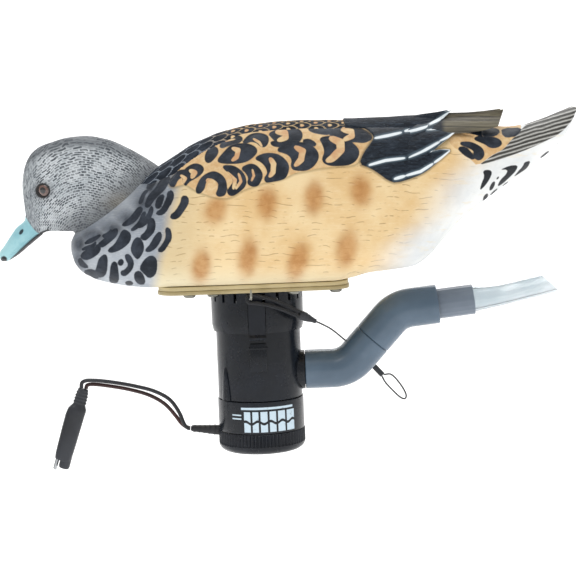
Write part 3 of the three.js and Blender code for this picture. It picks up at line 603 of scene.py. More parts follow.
TAN = [(168, 188), (180, 186), (186, 184), (194, 190), (206, 195), (222, 199), (234, 196), (250, 187), (268, 182), (285, 178), (300, 172), (322, 168),
       (346, 166), (359, 164), (363, 155), (370, 144), (374, 137), (367, 130), (352, 123), (330, 119), (300, 121), (262, 127), (235, 135), (205, 149), (190, 159), (176, 172)]
NAVY = [(330, 119), (345, 120.5), (372, 119.6), (400, 118.6), (426, 114.5), (452, 110), (446, 116), (434, 126.5), (446, 128.5), (457, 131), (449, 138), (441, 143),
        (432, 151), (442, 149.4), (452, 150), (444, 157), (436, 163.5), (426, 172), (414, 177.8), (396, 183.5), (388, 181), (380, 175), (370, 168.5), (359, 164.8), (363, 154),
        (372, 142), (374, 137), (366, 130), (350, 123)]
GREY_PATCH = [('p', [(436, 127), (446, 118), (455, 113), (462, 118), (462, 128), (456, 131), (446, 129)], 1),
              ('p', [(434, 151), (440, 144), (449, 138), (456, 133), (460, 140), (455, 150), (445, 150)], 1)]
PRIM = [(445, 117), (452, 114), (466, 114), (482, 112), (504, 109), (503, 116), (499, 127), (480, 131.5), (462, 132.5), (444, 128)]
RUMP = [(446, 136), (446, 112), (470, 112), (486, 112), (499, 113), (514, 119), (524, 128), (512, 140), (503, 149), (490, 157), (477, 166), (471, 160), (463, 152), (452, 147)]
TAIL = [(500, 150), (512, 139), (522, 128.5), (530, 122), (545, 116), (560, 110), (578, 104), (577, 112), (571, 122), (560, 134), (540, 144), (520, 152.5), (500, 159.5), (477, 166), (490, 157)]

DARK = [
    # scapulars, left part
    ('p', A((495, 240), (497, 215), (512, 195), (540, 180), (568, 188), (572, 205), (560, 222), (535, 236), (510, 250), (500, 256)), 2),
    ('p', A((585, 160), (596, 125), (612, 112), (628, 118), (628, 142), (608, 166), (590, 172)), 2),
    ('p', A((634, 168), (662, 130), (700, 104), (742, 100), (778, 112), (786, 134), (762, 156), (722, 174), (680, 174), (650, 174)), 2),
    ('p', A((640, 108), (672, 80), (712, 68), (728, 78), (712, 94), (680, 104), (650, 114)), 2),
    ('p', A((732, 92), (756, 68), (800, 60), (830, 70), (834, 92), (818, 110), (800, 104), (790, 92), (765, 86), (745, 94)), 2),
    ('p', A((836, 58), (876, 46), (930, 38), (962, 48), (968, 70), (948, 92), (905, 106), (858, 108), (846, 96), (870, 92), (850, 72)), 2),
    ('p', A((868, 124), (902, 104), (958, 94), (1000, 104), (1026, 130), (1032, 162), (1012, 186), (978, 200), (938, 202), (926, 186), (930, 160), (918, 140), (890, 130)), 2),
    ('p', A((782, 158), (815, 142), (856, 138), (892, 156), (914, 188), (906, 226), (870, 238), (828, 250), (820, 236), (834, 214), (824, 184), (805, 166)), 2),
    ('p', A((728, 196), (760, 178), (792, 192), (808, 224), (796, 256), (768, 264), (752, 254), (762, 238), (748, 212)), 2),
    ('p', A((545, 288), (556, 250), (586, 222), (618, 210), (650, 228), (668, 262), (662, 296), (640, 306), (624, 296), (640, 272), (628, 240), (604, 232), (582, 248), (574, 280), (560, 292)), 2),
    ('p', A((655, 188), (700, 190), (738, 222), (742, 262), (716, 288), (684, 302), (672, 292), (690, 266), (700, 244), (684, 214), (662, 200)), 2),
    ('p', A((438, 262), (452, 228), (482, 206), (524, 208), (530, 226), (514, 252), (500, 262), (504, 236), (486, 226), (468, 240), (460, 266)), 2),
    # scapulars, right part
    ('p', C((150, 158), (192, 146), (240, 146), (262, 158), (240, 178), (204, 178), (172, 172)), 2),
    ('p', C((130, 206), (156, 204), (182, 218), (176, 226), (148, 218)), 1),
    ('p', C((232, 158), (280, 148), (350, 156), (398, 176), (408, 198), (382, 212), (338, 208), (300, 210), (262, 200), (240, 182)), 2),
    ('p', C((200, 196), (252, 190), (310, 206), (348, 236), (352, 270), (330, 292), (280, 302), (226, 300), (212, 280), (224, 250), (214, 220)), 2),
    ('p', C((262, 122), (320, 118), (352, 122), (330, 134), (288, 134)), 1),
    # breast and neck side: rows of rounded tips
    ('p', A((82, 548), (92, 530), (112, 520), (140, 512), (152, 496), (160, 508), (152, 532), (128, 552), (104, 560)), 1),
    ('p', A((70, 560), (80, 552), (92, 566), (112, 588), (96, 590), (80, 580)), 1),
    ('p', A((96, 606), (118, 596), (142, 604), (158, 632), (136, 634), (112, 622)), 1),
    ('p', A((140, 610), (150, 580), (160, 552), (180, 536), (190, 556), (188, 590), (176, 622), (156, 630)), 1),
    ('p', A((196, 640), (202, 596), (212, 566), (226, 572), (234, 606), (232, 646), (214, 654)), 1),
    ('p', A((150, 500), (180, 476), (200, 446), (226, 432), (232, 448), (214, 476), (186, 498), (164, 508)), 1),
    ('p', A((192, 520), (222, 502), (236, 470), (248, 448), (262, 440), (282, 456), (278, 482), (256, 508), (226, 524), (200, 530)), 1),
    ('p', A((246, 608), (262, 602), (276, 580), (264, 556), (262, 540), (280, 540), (292, 566), (286, 598), (266, 620), (248, 622)), 1),
    ('p', A((232, 564), (244, 556), (254, 566), (248, 582), (236, 580)), 1),
    ('p', A((290, 490), (306, 472), (322, 474), (332, 500), (328, 534), (312, 556), (300, 548), (286, 520)), 1),
    ('p', A((318, 592), (340, 562), (366, 542), (384, 556), (388, 590), (378, 620), (356, 632), (336, 612)), 1),
    ('p', A((300, 612), (318, 604), (334, 624), (340, 654), (316, 656), (302, 640)), 1),
    ('p', A((258, 648), (280, 644), (294, 656), (270, 660)), 1),
    ('p', A((322, 470), (346, 446), (356, 404), (372, 392), (380, 412), (374, 444), (356, 468), (338, 482)), 1),
    ('p', A((338, 520), (366, 496), (382, 462), (398, 446), (406, 460), (400, 490), (380, 514), (354, 528)), 1),
    ('p', A((388, 524), (412, 500), (424, 468), (424, 436), (436, 432), (442, 462), (434, 496), (412, 526)), 1),
    ('p', A((440, 386), (470, 366), (486, 334), (490, 308), (508, 308), (508, 330), (494, 360), (474, 384), (454, 394)), 1),
    ('p', A((382, 372), (412, 350), (428, 312), (430, 288), (446, 284), (450, 306), (440, 340), (420, 368), (398, 380)), 1),
    ('p', A((336, 342), (352, 308), (376, 278), (396, 250), (416, 226), (436, 224), (440, 244), (424, 270), (398, 296), (374, 322), (352, 350)), 1),
    ('p', A((384, 334), (398, 306), (416, 298), (412, 326), (398, 352), (384, 352)), 1),
    ('p', A((302, 424), (334, 410), (352, 380), (362, 344), (372, 352), (368, 384), (350, 412), (322, 432)), 1),
    ('p', A((248, 420), (276, 396), (300, 372), (318, 346), (330, 356), (316, 384), (290, 410), (264, 426)), 1),
    ('p', A((282, 442), (300, 420), (318, 400), (330, 372), (342, 366), (340, 392), (324, 418), (300, 440)), 1),
    ('p', A((94, 494), (112, 478), (140, 470), (166, 458), (150, 478), (120, 492)), 1),
    ('p', A((84, 520), (104, 504), (132, 498), (146, 486), (138, 508), (112, 518)), 1),
    ('p', A((170, 462), (190, 450), (206, 434), (194, 460), (178, 472)), 1),
    ('p', A((356, 286), (376, 254), (398, 226), (388, 214), (366, 236), (346, 268)), 1),
    ('p', A((326, 330), (340, 300), (352, 284), (344, 282), (326, 306), (314, 334)), 1),
    # rump
    ('p', C((800, 172), (840, 160), (895, 158), (918, 168), (905, 184), (860, 184)), 1),
    ('p', C((812, 196), (850, 190), (905, 196), (926, 212), (905, 228), (882, 230), (858, 212)), 2),
    ('p', C((756, 214), (800, 212), (846, 234), (856, 262), (832, 280), (812, 262), (822, 244), (790, 226)), 2),
    ('p', C((752, 232), (780, 232), (806, 258), (812, 276), (786, 262), (766, 246)), 1),
    ('p', C((930, 158), (1010, 158), (990, 176), (962, 188), (936, 186)), 1)]
COMMA = [
    ('l', A((524, 206), (542, 214), (530, 232)), 2.6), ('l', A((694, 118), (714, 124), (706, 150), (690, 162)), 2.6), ('l', A((776, 80), (796, 92), (806, 108)), 1.4),
    ('l', A((868, 52), (900, 54), (902, 72), (876, 84)), 3.0), ('l', A((944, 112), (972, 128), (966, 160), (942, 182)), 3.3), ('l', A((842, 158), (856, 180), (852, 210), (840, 226)), 2.9),
    ('l', A((596, 246), (616, 262), (610, 290)), 4.2), ('l', A((670, 212), (700, 240), (694, 276)), 1.6), ('l', A((716, 218), (722, 246), (704, 276)), 1.5), ('l', A((770, 200), (778, 226), (768, 246)), 1.2),
    ('l', A((484, 224), (502, 236), (492, 256)), 1.8), ('l', A((664, 90), (700, 80)), .8),
    ('l', C((292, 164), (326, 170), (330, 188), (296, 200)), 2.9), ('l', C((244, 196), (280, 212), (284, 244), (246, 276), (232, 284)), 4.0),
]
WHITE = [
    ('l', [(375, 139.5), (388, 137), (401, 134)], 1.5), ('l', [(405, 132.5), (416, 130), (427, 126.5)], 1.6), ('l', [(429, 124.5), (438, 120), (451, 111.5)], 1.5),
    ('l', [(369, 166), (385, 161.5), (404, 159)], 1.5), ('l', [(409, 157), (425, 150), (439, 142)], 1.6), ('l', [(440, 141), (448, 137), (456, 131.5)], 1.2),
    ('l', [(394, 179.5), (404, 176.6)], 1.6), ('l', [(406, 176), (420, 172), (432, 164.5)], 1.5), ('l', [(434, 163), (442, 158), (451, 151)], 1.4),
    ('l', [(427, 130), (440, 128.2), (455, 131)], .9), ('l', [(431, 152), (440, 149.4), (451, 150.4)], .9)]
BLACKS = [
    ('p', C((850, 322), (878, 318), (890, 330), (878, 358), (860, 384), (838, 404), (846, 372), (858, 346)), 1),
    ('p', C((918, 320), (958, 302), (992, 300), (986, 322), (958, 350), (930, 376), (908, 388), (920, 360), (946, 336), (950, 318)), 1),
    ('p', C((1018, 288), (1044, 282), (1030, 312), (1004, 330), (972, 350), (992, 326), (1012, 304)), 1),
    ('l', C((882, 398), (896, 370)), 1.9), ('l', C((908, 356), (914, 348)), .9), ('l', C((856, 440), (868, 418)), 1.8), ('l', C((882, 420), (908, 396)), .8),
    ('l', C((932, 384), (952, 368)), .7), ('l', C((1084, 270), (1114, 246)), 1.0), ('l', C((1146, 224), (1162, 208)), .7)]
RUST = [(216, 210, 10, 13.5, .35), (267, 204, 9.5, 15, .05), (314, 198, 9.5, 15.5, .02), (361, 191, 10, 14.5, -.05), (201, 266, 9, 16, .1), (248, 257, 9.5, 18.5, .12), (298, 261, 9.5, 18, .3), (347, 249, 10, 17, .2)]


def scallops(x, a, pw=13.0, ph=9.0):
    """feather tips laid like shingles, as distances: inside of each tip, and the small mark in it"""
    best = np.full(x.shape, -9.0)
    com = np.full(x.shape, -9.0)
    owner = np.full(x.shape, -1e9)
    row = np.floor(x / ph)
    for dr in (-1, 0, 1, 2, 3):
        r = row + dr
        off = np.where(np.mod(r, 2) < 1, 0.0, pw / 2)
        k = np.round((a - off) / pw)
        for dk in (-1, 0, 1):
            cy = off + (k + dk) * pw
            cx = r * ph
            dx, dy = x - cx, a - cy
            R_ = pw * .60
            inside = R_ - np.hypot(np.maximum(dx, 0) * 1.05, dy)
            tip = np.where(dx < -ph * 1.6, -5.0, inside)
            # a tip nearer the head lies on top of the one behind it
            take = (tip > 0) & (-r > owner)
            d = tip - 1.25
            best = np.where(take, d, best)
            com = np.where(take, 1.3 - np.hypot((dx - 1.2 + 0.06 * dy * dy), dy * 0.45), com)
            owner = np.where(take, -r, owner)
    return best, com


def paint_attrs(P):
    x, y, z = P[:, 0], P[:, 1], P[:, 2]
    u, v = project(P)
    jit = np.sin(u * .31 + v * .17) * .3 + np.sin(u * .13 - v * .29 + 1.3) * .3
    uj, vj = u + jit, v + jit[::1] * .6
    a = np.abs(y)
    top = smooth01(33, 26, a) * smooth01(88, 92, z) * smooth01(-74, -58, x)
    top_hard = np.where((a < 29.5) & (z > 89) & (x > -70) & (x < 150), 1.0, 0.0)
    tan = sd_poly(uj, vj, TAN, 2)
    navy = sd_poly(u, v, NAVY, 1)
    ridge_v = np.interp(u, [150, 176, 190, 205, 235, 262, 300, 345, 372], [184, 173, 162, 152, 137.5, 129.5, 124.5, 122, 120])
    dark = union(uj, vj, DARK) + np.where(u < 170, 0.3, 0.85)
    comma = union(uj, vj, COMMA)
    sx, sc = scallops(x + 3, a + 4.2)
    m = ((top_hard > 0) | ((v < ridge_v) & (u < 350) & (z > 40))) & (x < 62) & (x > -100)
    dark = np.where(m, sx, dark)
    comma = np.where(m, np.where(x > -15, sc, -6), comma)
    tan = np.where(m, -6.0, tan)
    navy = np.where((top_hard > 0) & (x >= 62) & (x < 150), 4.0, np.where(m, -4.0, navy))
    white = union(u, v, WHITE)
    white = np.where(top_hard > 0, -6, white)
    TOPNAVY = (top_hard > 0) & (x >= 62)
    out = dict(tan=tan, navy=navy, dark=dark, comma=comma, white=white,
               grey=np.where(TOPNAVY, -6, union(u, v, GREY_PATCH)), rump=sd_poly(uj, vj, RUMP, 1), tail=sd_poly(u, v, TAIL, 1), blacks=union(u, v, BLACKS))
    g = np.zeros(len(u))
    for cu, cv, su_, sv_, k in RUST:
        d0, d1 = u - cu, v - cv
        q0, q1 = d0 * math.cos(k) + d1 * math.sin(k), -d0 * math.sin(k) + d1 * math.cos(k)
        g = np.maximum(g, np.exp(-((q0 / (su_ * 1.22)) ** 2 + (q1 / (sv_ * 1.2)) ** 2) ** 1.2))
    out['rust'] = g
    # painted shade: slate-dark along the neck joint and low on the breast
    s = np.zeros(len(u))
    for cu, cv, ru, rv, w in ((165, 168, 16, 19, 1), (153, 188, 13, 22, 1), (143, 204, 12, 17, 1), (128, 219, 15, 11, 1), (112, 229, 16, 10, 1), (94, 236, 18, 10, 1), (79, 244, 10, 13, 1), (78, 262, 8, 16, .95), (88, 278, 12, 9, .7)):
        s = np.maximum(s, w * np.exp(-(((u - cu) / ru) ** 2 + ((v - cv) / rv) ** 2)))
    out['painted_neck_shade'] = s
    # breast grey to flank buff, and flank buff to white at the rear
    line_b = np.interp(v, [150, 190, 215, 240, 262, 275, 292], [186, 176, 168, 165, 158, 156, 152])
    out['breast'] = smooth01(line_b + 9, line_b - 7, u)
    line_w = np.interp(v, [140, 165, 190, 225, 260, 290], [494, 484, 464, 436, 404, 386])
    out['white_rear'] = smooth01(line_w - 44, line_w + 12, u + 4 * np.sin(v * .11))
    # ridge band: charcoal with thin streaks
    ridge = np.interp(u, [150, 176, 190, 205, 235, 262, 300, 345, 372], [182, 171, 160, 150, 135.5, 127.5, 122.5, 121, 119])
    out['ridge'] = np.where(m, 6.0, -6.0)
    out['flow'] = np.stack([u, v, a], -1)
    out['topm'] = np.where(m, 1.0, top_hard)
    return out


def relief(P, at):
    """outward lift, mm"""
    tan, navy, dark = at['tan'], at['navy'], at['dark']
    h = 0.9 * smooth01(-1.0, 1.4, tan) * (1 - smooth01(-0.5, 0.8, navy))
    h = np.maximum(h, 1.3 * smooth01(-1.0, 1.2, navy))
    inner = smooth01(-0.6, 0.9, dark)
    h += np.where(tan > 0, -0.32, -0.22) * inner
    h += 0.2 * smooth01(-0.5, 0.8, at['comma']) * inner
    h -= 0.25 * smooth01(-0.8, 0.6, at['white']) * smooth01(0, 1, navy)
    u, v = at['flow'][:, 0], at['flow'][:, 1]
    # tail: long feathers that overlap like shingles
    tl = smooth01(-1, 1, at['tail'])
    k = ((v - 107) + (u - 574) * 0.29) / 4.4
    h += tl * (0.5 * (1 - np.mod(k, 1)) - 0.25)
    h += 0.5 * smooth01(-1, 1.2, at['rump']) * (1 - tl)
    # shallow engraved lines across the flank
    q = np.sin(v * 0.95 + 4.0 * np.sin(u * 0.045 + 1.0) + 0.5 * np.sin(u * 0.31))
    gate = smooth01(0.35, 0.8, np.sin(u * 0.33 + 3.1 * np.sin(v * 0.21)) * np.sin(v * 0.17 + u * 0.05 + 0.6))
    side = (1 - smooth01(-2, 1, tan)) * (1 - smooth01(-2, 1, navy)) * (1 - tl) * (1 - at['topm'])
    h -= 0.10 * side * gate * smooth01(0.55, 0.95, q)
    return h


def normals(P):
    """outward normals of a ring grid"""
    du = np.gradient(P, axis=0)
    dv = (np.roll(P, -1, 1) - np.roll(P, 1, 1)) / 2
    n = np.cross(du, dv)
    n /= np.maximum(np.linalg.norm(n, axis=2, keepdims=True), 1e-9)
    c = P.mean(1, keepdims=True)
    if ((P - c) * n).sum() < 0:
        n = -n
    return n


HR, HS = ((440, 440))
HP = hull_rings(HR, HS)
hat = paint_attrs(HP.reshape(-1, 3))
hh = relief(HP.reshape(-1, 3), hat).reshape(HR, HS, 1)
edge = smooth01(0, 4, np.arange(HR))[:, None, None] * smooth01(HR - 1, HR - 6, np.arange(HR))[:, None, None]
# nothing is lifted on the flat underside, where the plate sits
flat = smooth01(3.5, 6.5, HP[:, :, 2:3]) + (HP[:, :, 0:1] > 62)
HP2 = HP + normals(HP) * hh * edge * np.clip(flat, 0, 1)
HN = normals(HP2)

# wing tips: two long flat blades each side, lying over the rump


def half_width(x, z):
    zt, zb, h, zc, et, eb = [float(np.interp(x, ST[:, 0], ST[:, k])) for k in range(1, 7)]
    if x > 105:
        zt = max(zt, 106.0)
    if z >= zc:
        return h * max(0.0, 1 - (min(z, zt) - zc) ** et / (zt - zc) ** et) ** (1 / et)
    return h * max(0.0, 1 - (zc - max(z, zb)) ** eb / (zc - zb) ** eb) ** (1 / eb)


def blade(top, bot, tips, y0, y1, thick, n=64, m=24):
    """closed lens-section blade between a top edge and a bottom edge given as (u, v) plans"""
    t = np.linspace(0, 1, n)
    top, bot = np.array(top, float), np.array(bot, float)

    def along(p, t):
        d = np.concatenate([[0], np.cumsum(np.linalg.norm(np.diff(p, axis=0), axis=1))])
        return np.stack([np.interp(t * d[-1], d, p[:, k]) for k in range(2)], -1)
    a, b = along(top, t), along(bot, t)
    rings = []
    for i in range(n):
        yy = y0 + (y1 - y0) * t[i]
        ring = []
        for j in range(m):
            w = j / m * 2 * np.pi
            f = (1 - math.cos(w)) / 2
            q = a[i] + (b[i] - a[i]) * f
            lens = thick * (math.sin(w)) * (0.5 if math.sin(w) > 0 else 0.35) * (0.75 + 0.25 * math.sin(w))
            lens *= 1 - 0.55 * t[i] ** 3
            p = unproject(q[0], q[1], -yy)
            for _ in range(3):
                ys = max(half_width(min(p[0], 112.0), p[2]), 9.0)
                lift_ = 0.4 + 1.5 * smooth01(0, .35, t[i]) - 2.2 * (1 - smooth01(0, .10, t[i]))
                p = unproject(q[0], q[1], -((ys + lift_) * (1 - .16 * smooth01(118, 168, p[0]))))
            p[1] -= lens
            ring.append(p)
        rings.append(ring)
    return np.array(rings)


blades = []
for spec in (
        dict(top=[(424, 116), (452, 113.5), (470, 113), (486, 111.6), (503.5, 109.2)], bot=[(424, 136), (452, 134), (470, 132.6), (484, 130.4), (498, 126.4)], tips=0, y0=34, y1=17, thick=3.0),
        dict(top=[(404, 118.2), (424, 114.8), (440, 112.6), (451.5, 110.2)], bot=[(404, 140), (420, 136), (430, 130), (436, 125.6)], tips=0, y0=39.5, y1=30.5, thick=3.2),
        dict(top=[(404, 134), (428, 129), (444, 128.8), (456.5, 131.2)], bot=[(404, 168), (420, 160), (432, 151.6), (447, 139.5)], tips=0, y0=44, y1=37, thick=3.2)):
    B = blade(**spec)
    blades.append(B)
    blades.append(B * np.array([1, -1, 1]))

cut = HR // 2
hull_parts = []
for nm, lo, hi in (("hull_fore", 0, cut + 1), ("hull_aft", cut, HR)):
    n = hi - lo
    V = HP2[lo:hi].reshape(-1, 3)
    F = grid_faces(n, HS).tolist()
    row = 0 if lo == 0 else n - 1
    V = np.vstack([V, V[row * HS:(row + 1) * HS].mean(0)[None]])
    F += [[row * HS + j, row * HS + (j + 1) % HS, n * HS] for j in range(HS)]
    if lo:
        F = [f[::-1] for f in F]
    at = {k: np.concatenate([a[lo * HS:hi * HS], a[lo * HS:lo * HS + 1]]) for k, a in hat.items()}
    at['blade'] = np.zeros(len(V))
    ob = build(nm, V, F, attrs=at, angle=None)
    vn = np.vstack([HN[lo:hi].reshape(-1, 3), [[-1.0 if lo == 0 else 1.0, 0, 0]]])
    ob.data.normals_split_custom_set_from_vertices(vn.tolist())
    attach(ob, "decoy")
    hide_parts("hull_shell")
    hull_parts.append(ob)

V, F, atts, base_v = [], [], {}, 0
for bi, B in enumerate(blades):
    n, m, _ = B.shape
    V.append(B.reshape(-1, 3))
    F += (grid_faces(n, m) + base_v).tolist()
    for row in (0, n - 1):
        V.append(B[row].mean(0)[None])
        F += [[base_v + row * m + j, base_v + row * m + (j + 1) % m, base_v + n * m + (row > 0)] for j in range(m)]
    pts = np.vstack([B.reshape(-1, 3), B[0].mean(0)[None], B[-1].mean(0)[None]])
    ba = paint_attrs(pts)
    flatg = -6 * np.ones(len(pts))
    ba['topm'] = np.zeros(len(pts))
    u, v = ba['flow'][:, 0], ba['flow'][:, 1]
    if bi < 2:
        ba['navy'] = flatg
    else:
        ba['navy'] = sd_poly(u, v, NAVY, 1) + 2.5
        ba['white'] = union(u, v, WHITE)
    for k in ('tan', 'dark', 'comma', 'rump', 'tail', 'blacks', 'ridge', 'rust', 'painted_neck_shade'):
        ba[k] = flatg * (0 if k in ('rust', 'painted_neck_shade') else 1)
    ba['blade'] = np.full(len(pts), 1.0 if bi < 2 else 2.0)
    for k, a in ba.items():
        atts.setdefault(k, []).append(a)
    base_v += n * m + 2
wings = build("wing_tips", np.vstack(V), F, attrs={k: np.concatenate(a) for k, a in atts.items()}, angle=55)
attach(wings, "decoy")
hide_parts("hull_shell")
hull_parts.append(wings)

# --------------------------------------------------------------- head form
HEADR = np.array([[-112.5, 36, -52, 71, 29, 2], [-118, 36, -60, 79, 30, 2], [-118.6, 38.2, -70.5, 86.6, 29.2, 2], [-119.1, 39, -81, 93, 28, 2], [-119.8, 39.4, -95, 99.4, 26.4, 2],
                  [-120.7, 39.5, -109, 102, 25.2, 2.05], [-122.5, 39.5, -120.5, 101.3, 24.6, 2.1], [-124.8, 39.6, -130, 99, 24, 2.1], [-127.5, 39.8, -139, 96, 22.4, 2.1],
                  [-130.3, 40, -146, 90, 19.6, 2.1], [-133, 40, -150.2, 80, 16.4, 2.1], [-135.2, 40, -151.5, 70, 13.8, 2.1], [-137.2, 39.8, -150.8, 56, 10.8, 2.2],
                  [-138.6, 39.3, -150.2, 50.2, 9.6, 2.4], [-148.8, 31.9, -157.2, 42.2, 9.6, 2.5], [-159.1, 24.3, -166, 30.2, 8.6, 2.5], [-164.6, 21.8, -168.4, 27.2, 6.6, 2.4],
                  [-167.2, 21.6, -168.9, 24.8, 3.6, 2.2]])
nr, nsg = ((250, 230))
mid = np.stack([(HEADR[:, 0] + HEADR[:, 2]) / 2, (HEADR[:, 1] + HEADR[:, 3]) / 2], -1)
cl = np.concatenate([[0], np.cumsum(np.maximum(np.linalg.norm(np.diff(mid, axis=0), axis=1), 0.45 * np.linalg.norm(np.diff(HEADR[:, 2:4], axis=0), axis=1)))])
tt = np.linspace(0, cl[-1], nr)
hc = [pchip(cl, HEADR[:, k], tt) for k in range(6)]
HPs = np.zeros((nr, nsg, 3))
ang0 = np.linspace(0, 2 * np.pi, 1441)
for i in range(nr):
    cx, cz, kx, kz, hw, ee = [c[i] for c in hc]
    m = np.array([(cx + kx) / 2, (cz + kz) / 2])
    ax = np.array([(kx - cx) / 2, (kz - cz) / 2])
    ya, q = hw * spow(np.cos(ang0), ee), spow(np.sin(ang0), ee)
    la = np.linalg.norm(ax)
    d = np.concatenate([[0], np.cumsum(np.hypot(np.diff(ya), la * np.diff(q)))])
    s = np.linspace(0, d[-1], nsg, endpoint=False)
    yy, qq = np.interp(s, d, ya), np.interp(s, d, q)
    # brow ridge and a shallow eye groove come from the lift below
    HPs[i, :, 0], HPs[i, :, 1], HPs[i, :, 2] = m[0] + ax[0] * qq, yy, m[1] + ax[1] * qq
hp = HPs.reshape(-1, 3)
hu, hv = project(hp)
BILL_EDGE = [(24, 214), (27, 218), (30, 224), (34, 229.5), (38, 233), (43, 234.5), (60, 246), (60, 260), (-20, 290), (-20, 200), (16, 208)]
bill = sd_poly(hu, hv, BILL_EDGE, 1)
LOWER = [(50, 228.6), (44, 230.4), (38.5, 233.2), (31, 238.8), (23, 246), (14, 254.6), (9, 259), (8, 266), (30, 262), (52, 240)]
lower = np.maximum(sd_poly(hu, hv, LOWER, 1), 2.8 - np.hypot(hu - 4.2, hv - 258.6))
nost = 1 - np.hypot((hu - 21.5) * .82 + (hv - 232) * .57, ((hv - 232) * .82 - (hu - 21.5) * .57) * .5) / 1.9
nost = np.where(np.abs(hp[:, 1]) > 1.5, nost * 1.9, -3)
eyed = np.hypot(hu - 43.5, hv - 190.5)
jaw = sd_line(hu, hv, [(44, 233), (36, 234.5), (28, 240.5), (18, 249.5), (8, 257)], 0.8, False)
lift = -0.55 * smooth01(-0.6, 0.9, jaw) * smooth01(-2, 2, bill)
lift += 0.9 * np.exp(-((eyed - 8.2) / 2.0) ** 2) - 0.5 * np.exp(-(eyed / 5.6) ** 4)
lift += -0.5 * smooth01(-.2, 1.2, nost) + 0.25 * smooth01(-1.4, 0, nost) * (nost < 0.2)
lift += 0.5 * smooth01(-1.4, 0.4, bill) * (np.abs(hp[:, 1]) < 30)
lift += 0.7 * np.exp(-(((hu - 40) * .8 + (hv - 181) * .6) / 14) ** 2 - ((-(hu - 40) * .6 + (hv - 181) * .8) / 4.0) ** 2) * (np.abs(hp[:, 1]) > 8)
# short feather strokes pressed into the whole head, running back from the bill
dir_a = np.radians(np.interp(hu, [25, 50, 70, 95, 125, 155], [-52, -34, -16, 4, 18, 34]))
fa = (hu - 80) * np.cos(dir_a) + (hv - 190) * np.sin(dir_a)
fb = -(hu - 80) * np.sin(dir_a) + (hv - 190) * np.cos(dir_a)
lift = lift * smooth01(0, 8, np.repeat(np.arange(nr), nsg))
HPs2 = HPs + normals(HPs) * lift.reshape(nr, nsg, 1)
hatt = dict(bill=bill, lower=lower, nost=nost, eyed=eyed, flow=np.stack([hu, hv, np.abs(hp[:, 1])], -1), fa=fa, fb=fb)
crown_v = np.interp(hu, [18, 24, 30, 40, 50, 62, 75, 90, 105, 120, 140, 160], [192, 172, 164, 158, 154, 150.5, 149, 149.5, 152, 157, 163, 172])
hatt['buffy'] = .42 * np.exp(-((hu - 121) / 16) ** 2 - ((hv - 203) / 11) ** 2)
hatt['crown'] = (crown_v - hv) / 11.0
seam_d = np.hypot(0, 0) + ((hp[:, 0] + 118) * (79 - 36) - (hp[:, 2] - 36) * (118 - 60)) / math.hypot(43, 58)
hatt['seam'] = -seam_d
head = loft("head_fine", HPs2, attrs=hatt, angle=None)
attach(head, "decoy")
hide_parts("head")


def paint_common(g, base, rough, micro=0.12):
    """sets a colour, roughness and specular level, and returns a fine noise for the grain of sprayed paint"""
    n = g.noise(900, 3, 0.6)
    g.set('Base Color', base)
    g.set('Roughness', rough)
    g.bsdf.inputs['Specular IOR Level'].default_value = 0.35
    return n


def step(g, a, w=0.45):
    return g.rng(g.attr(a) if isinstance(a, str) else a, -w, w)


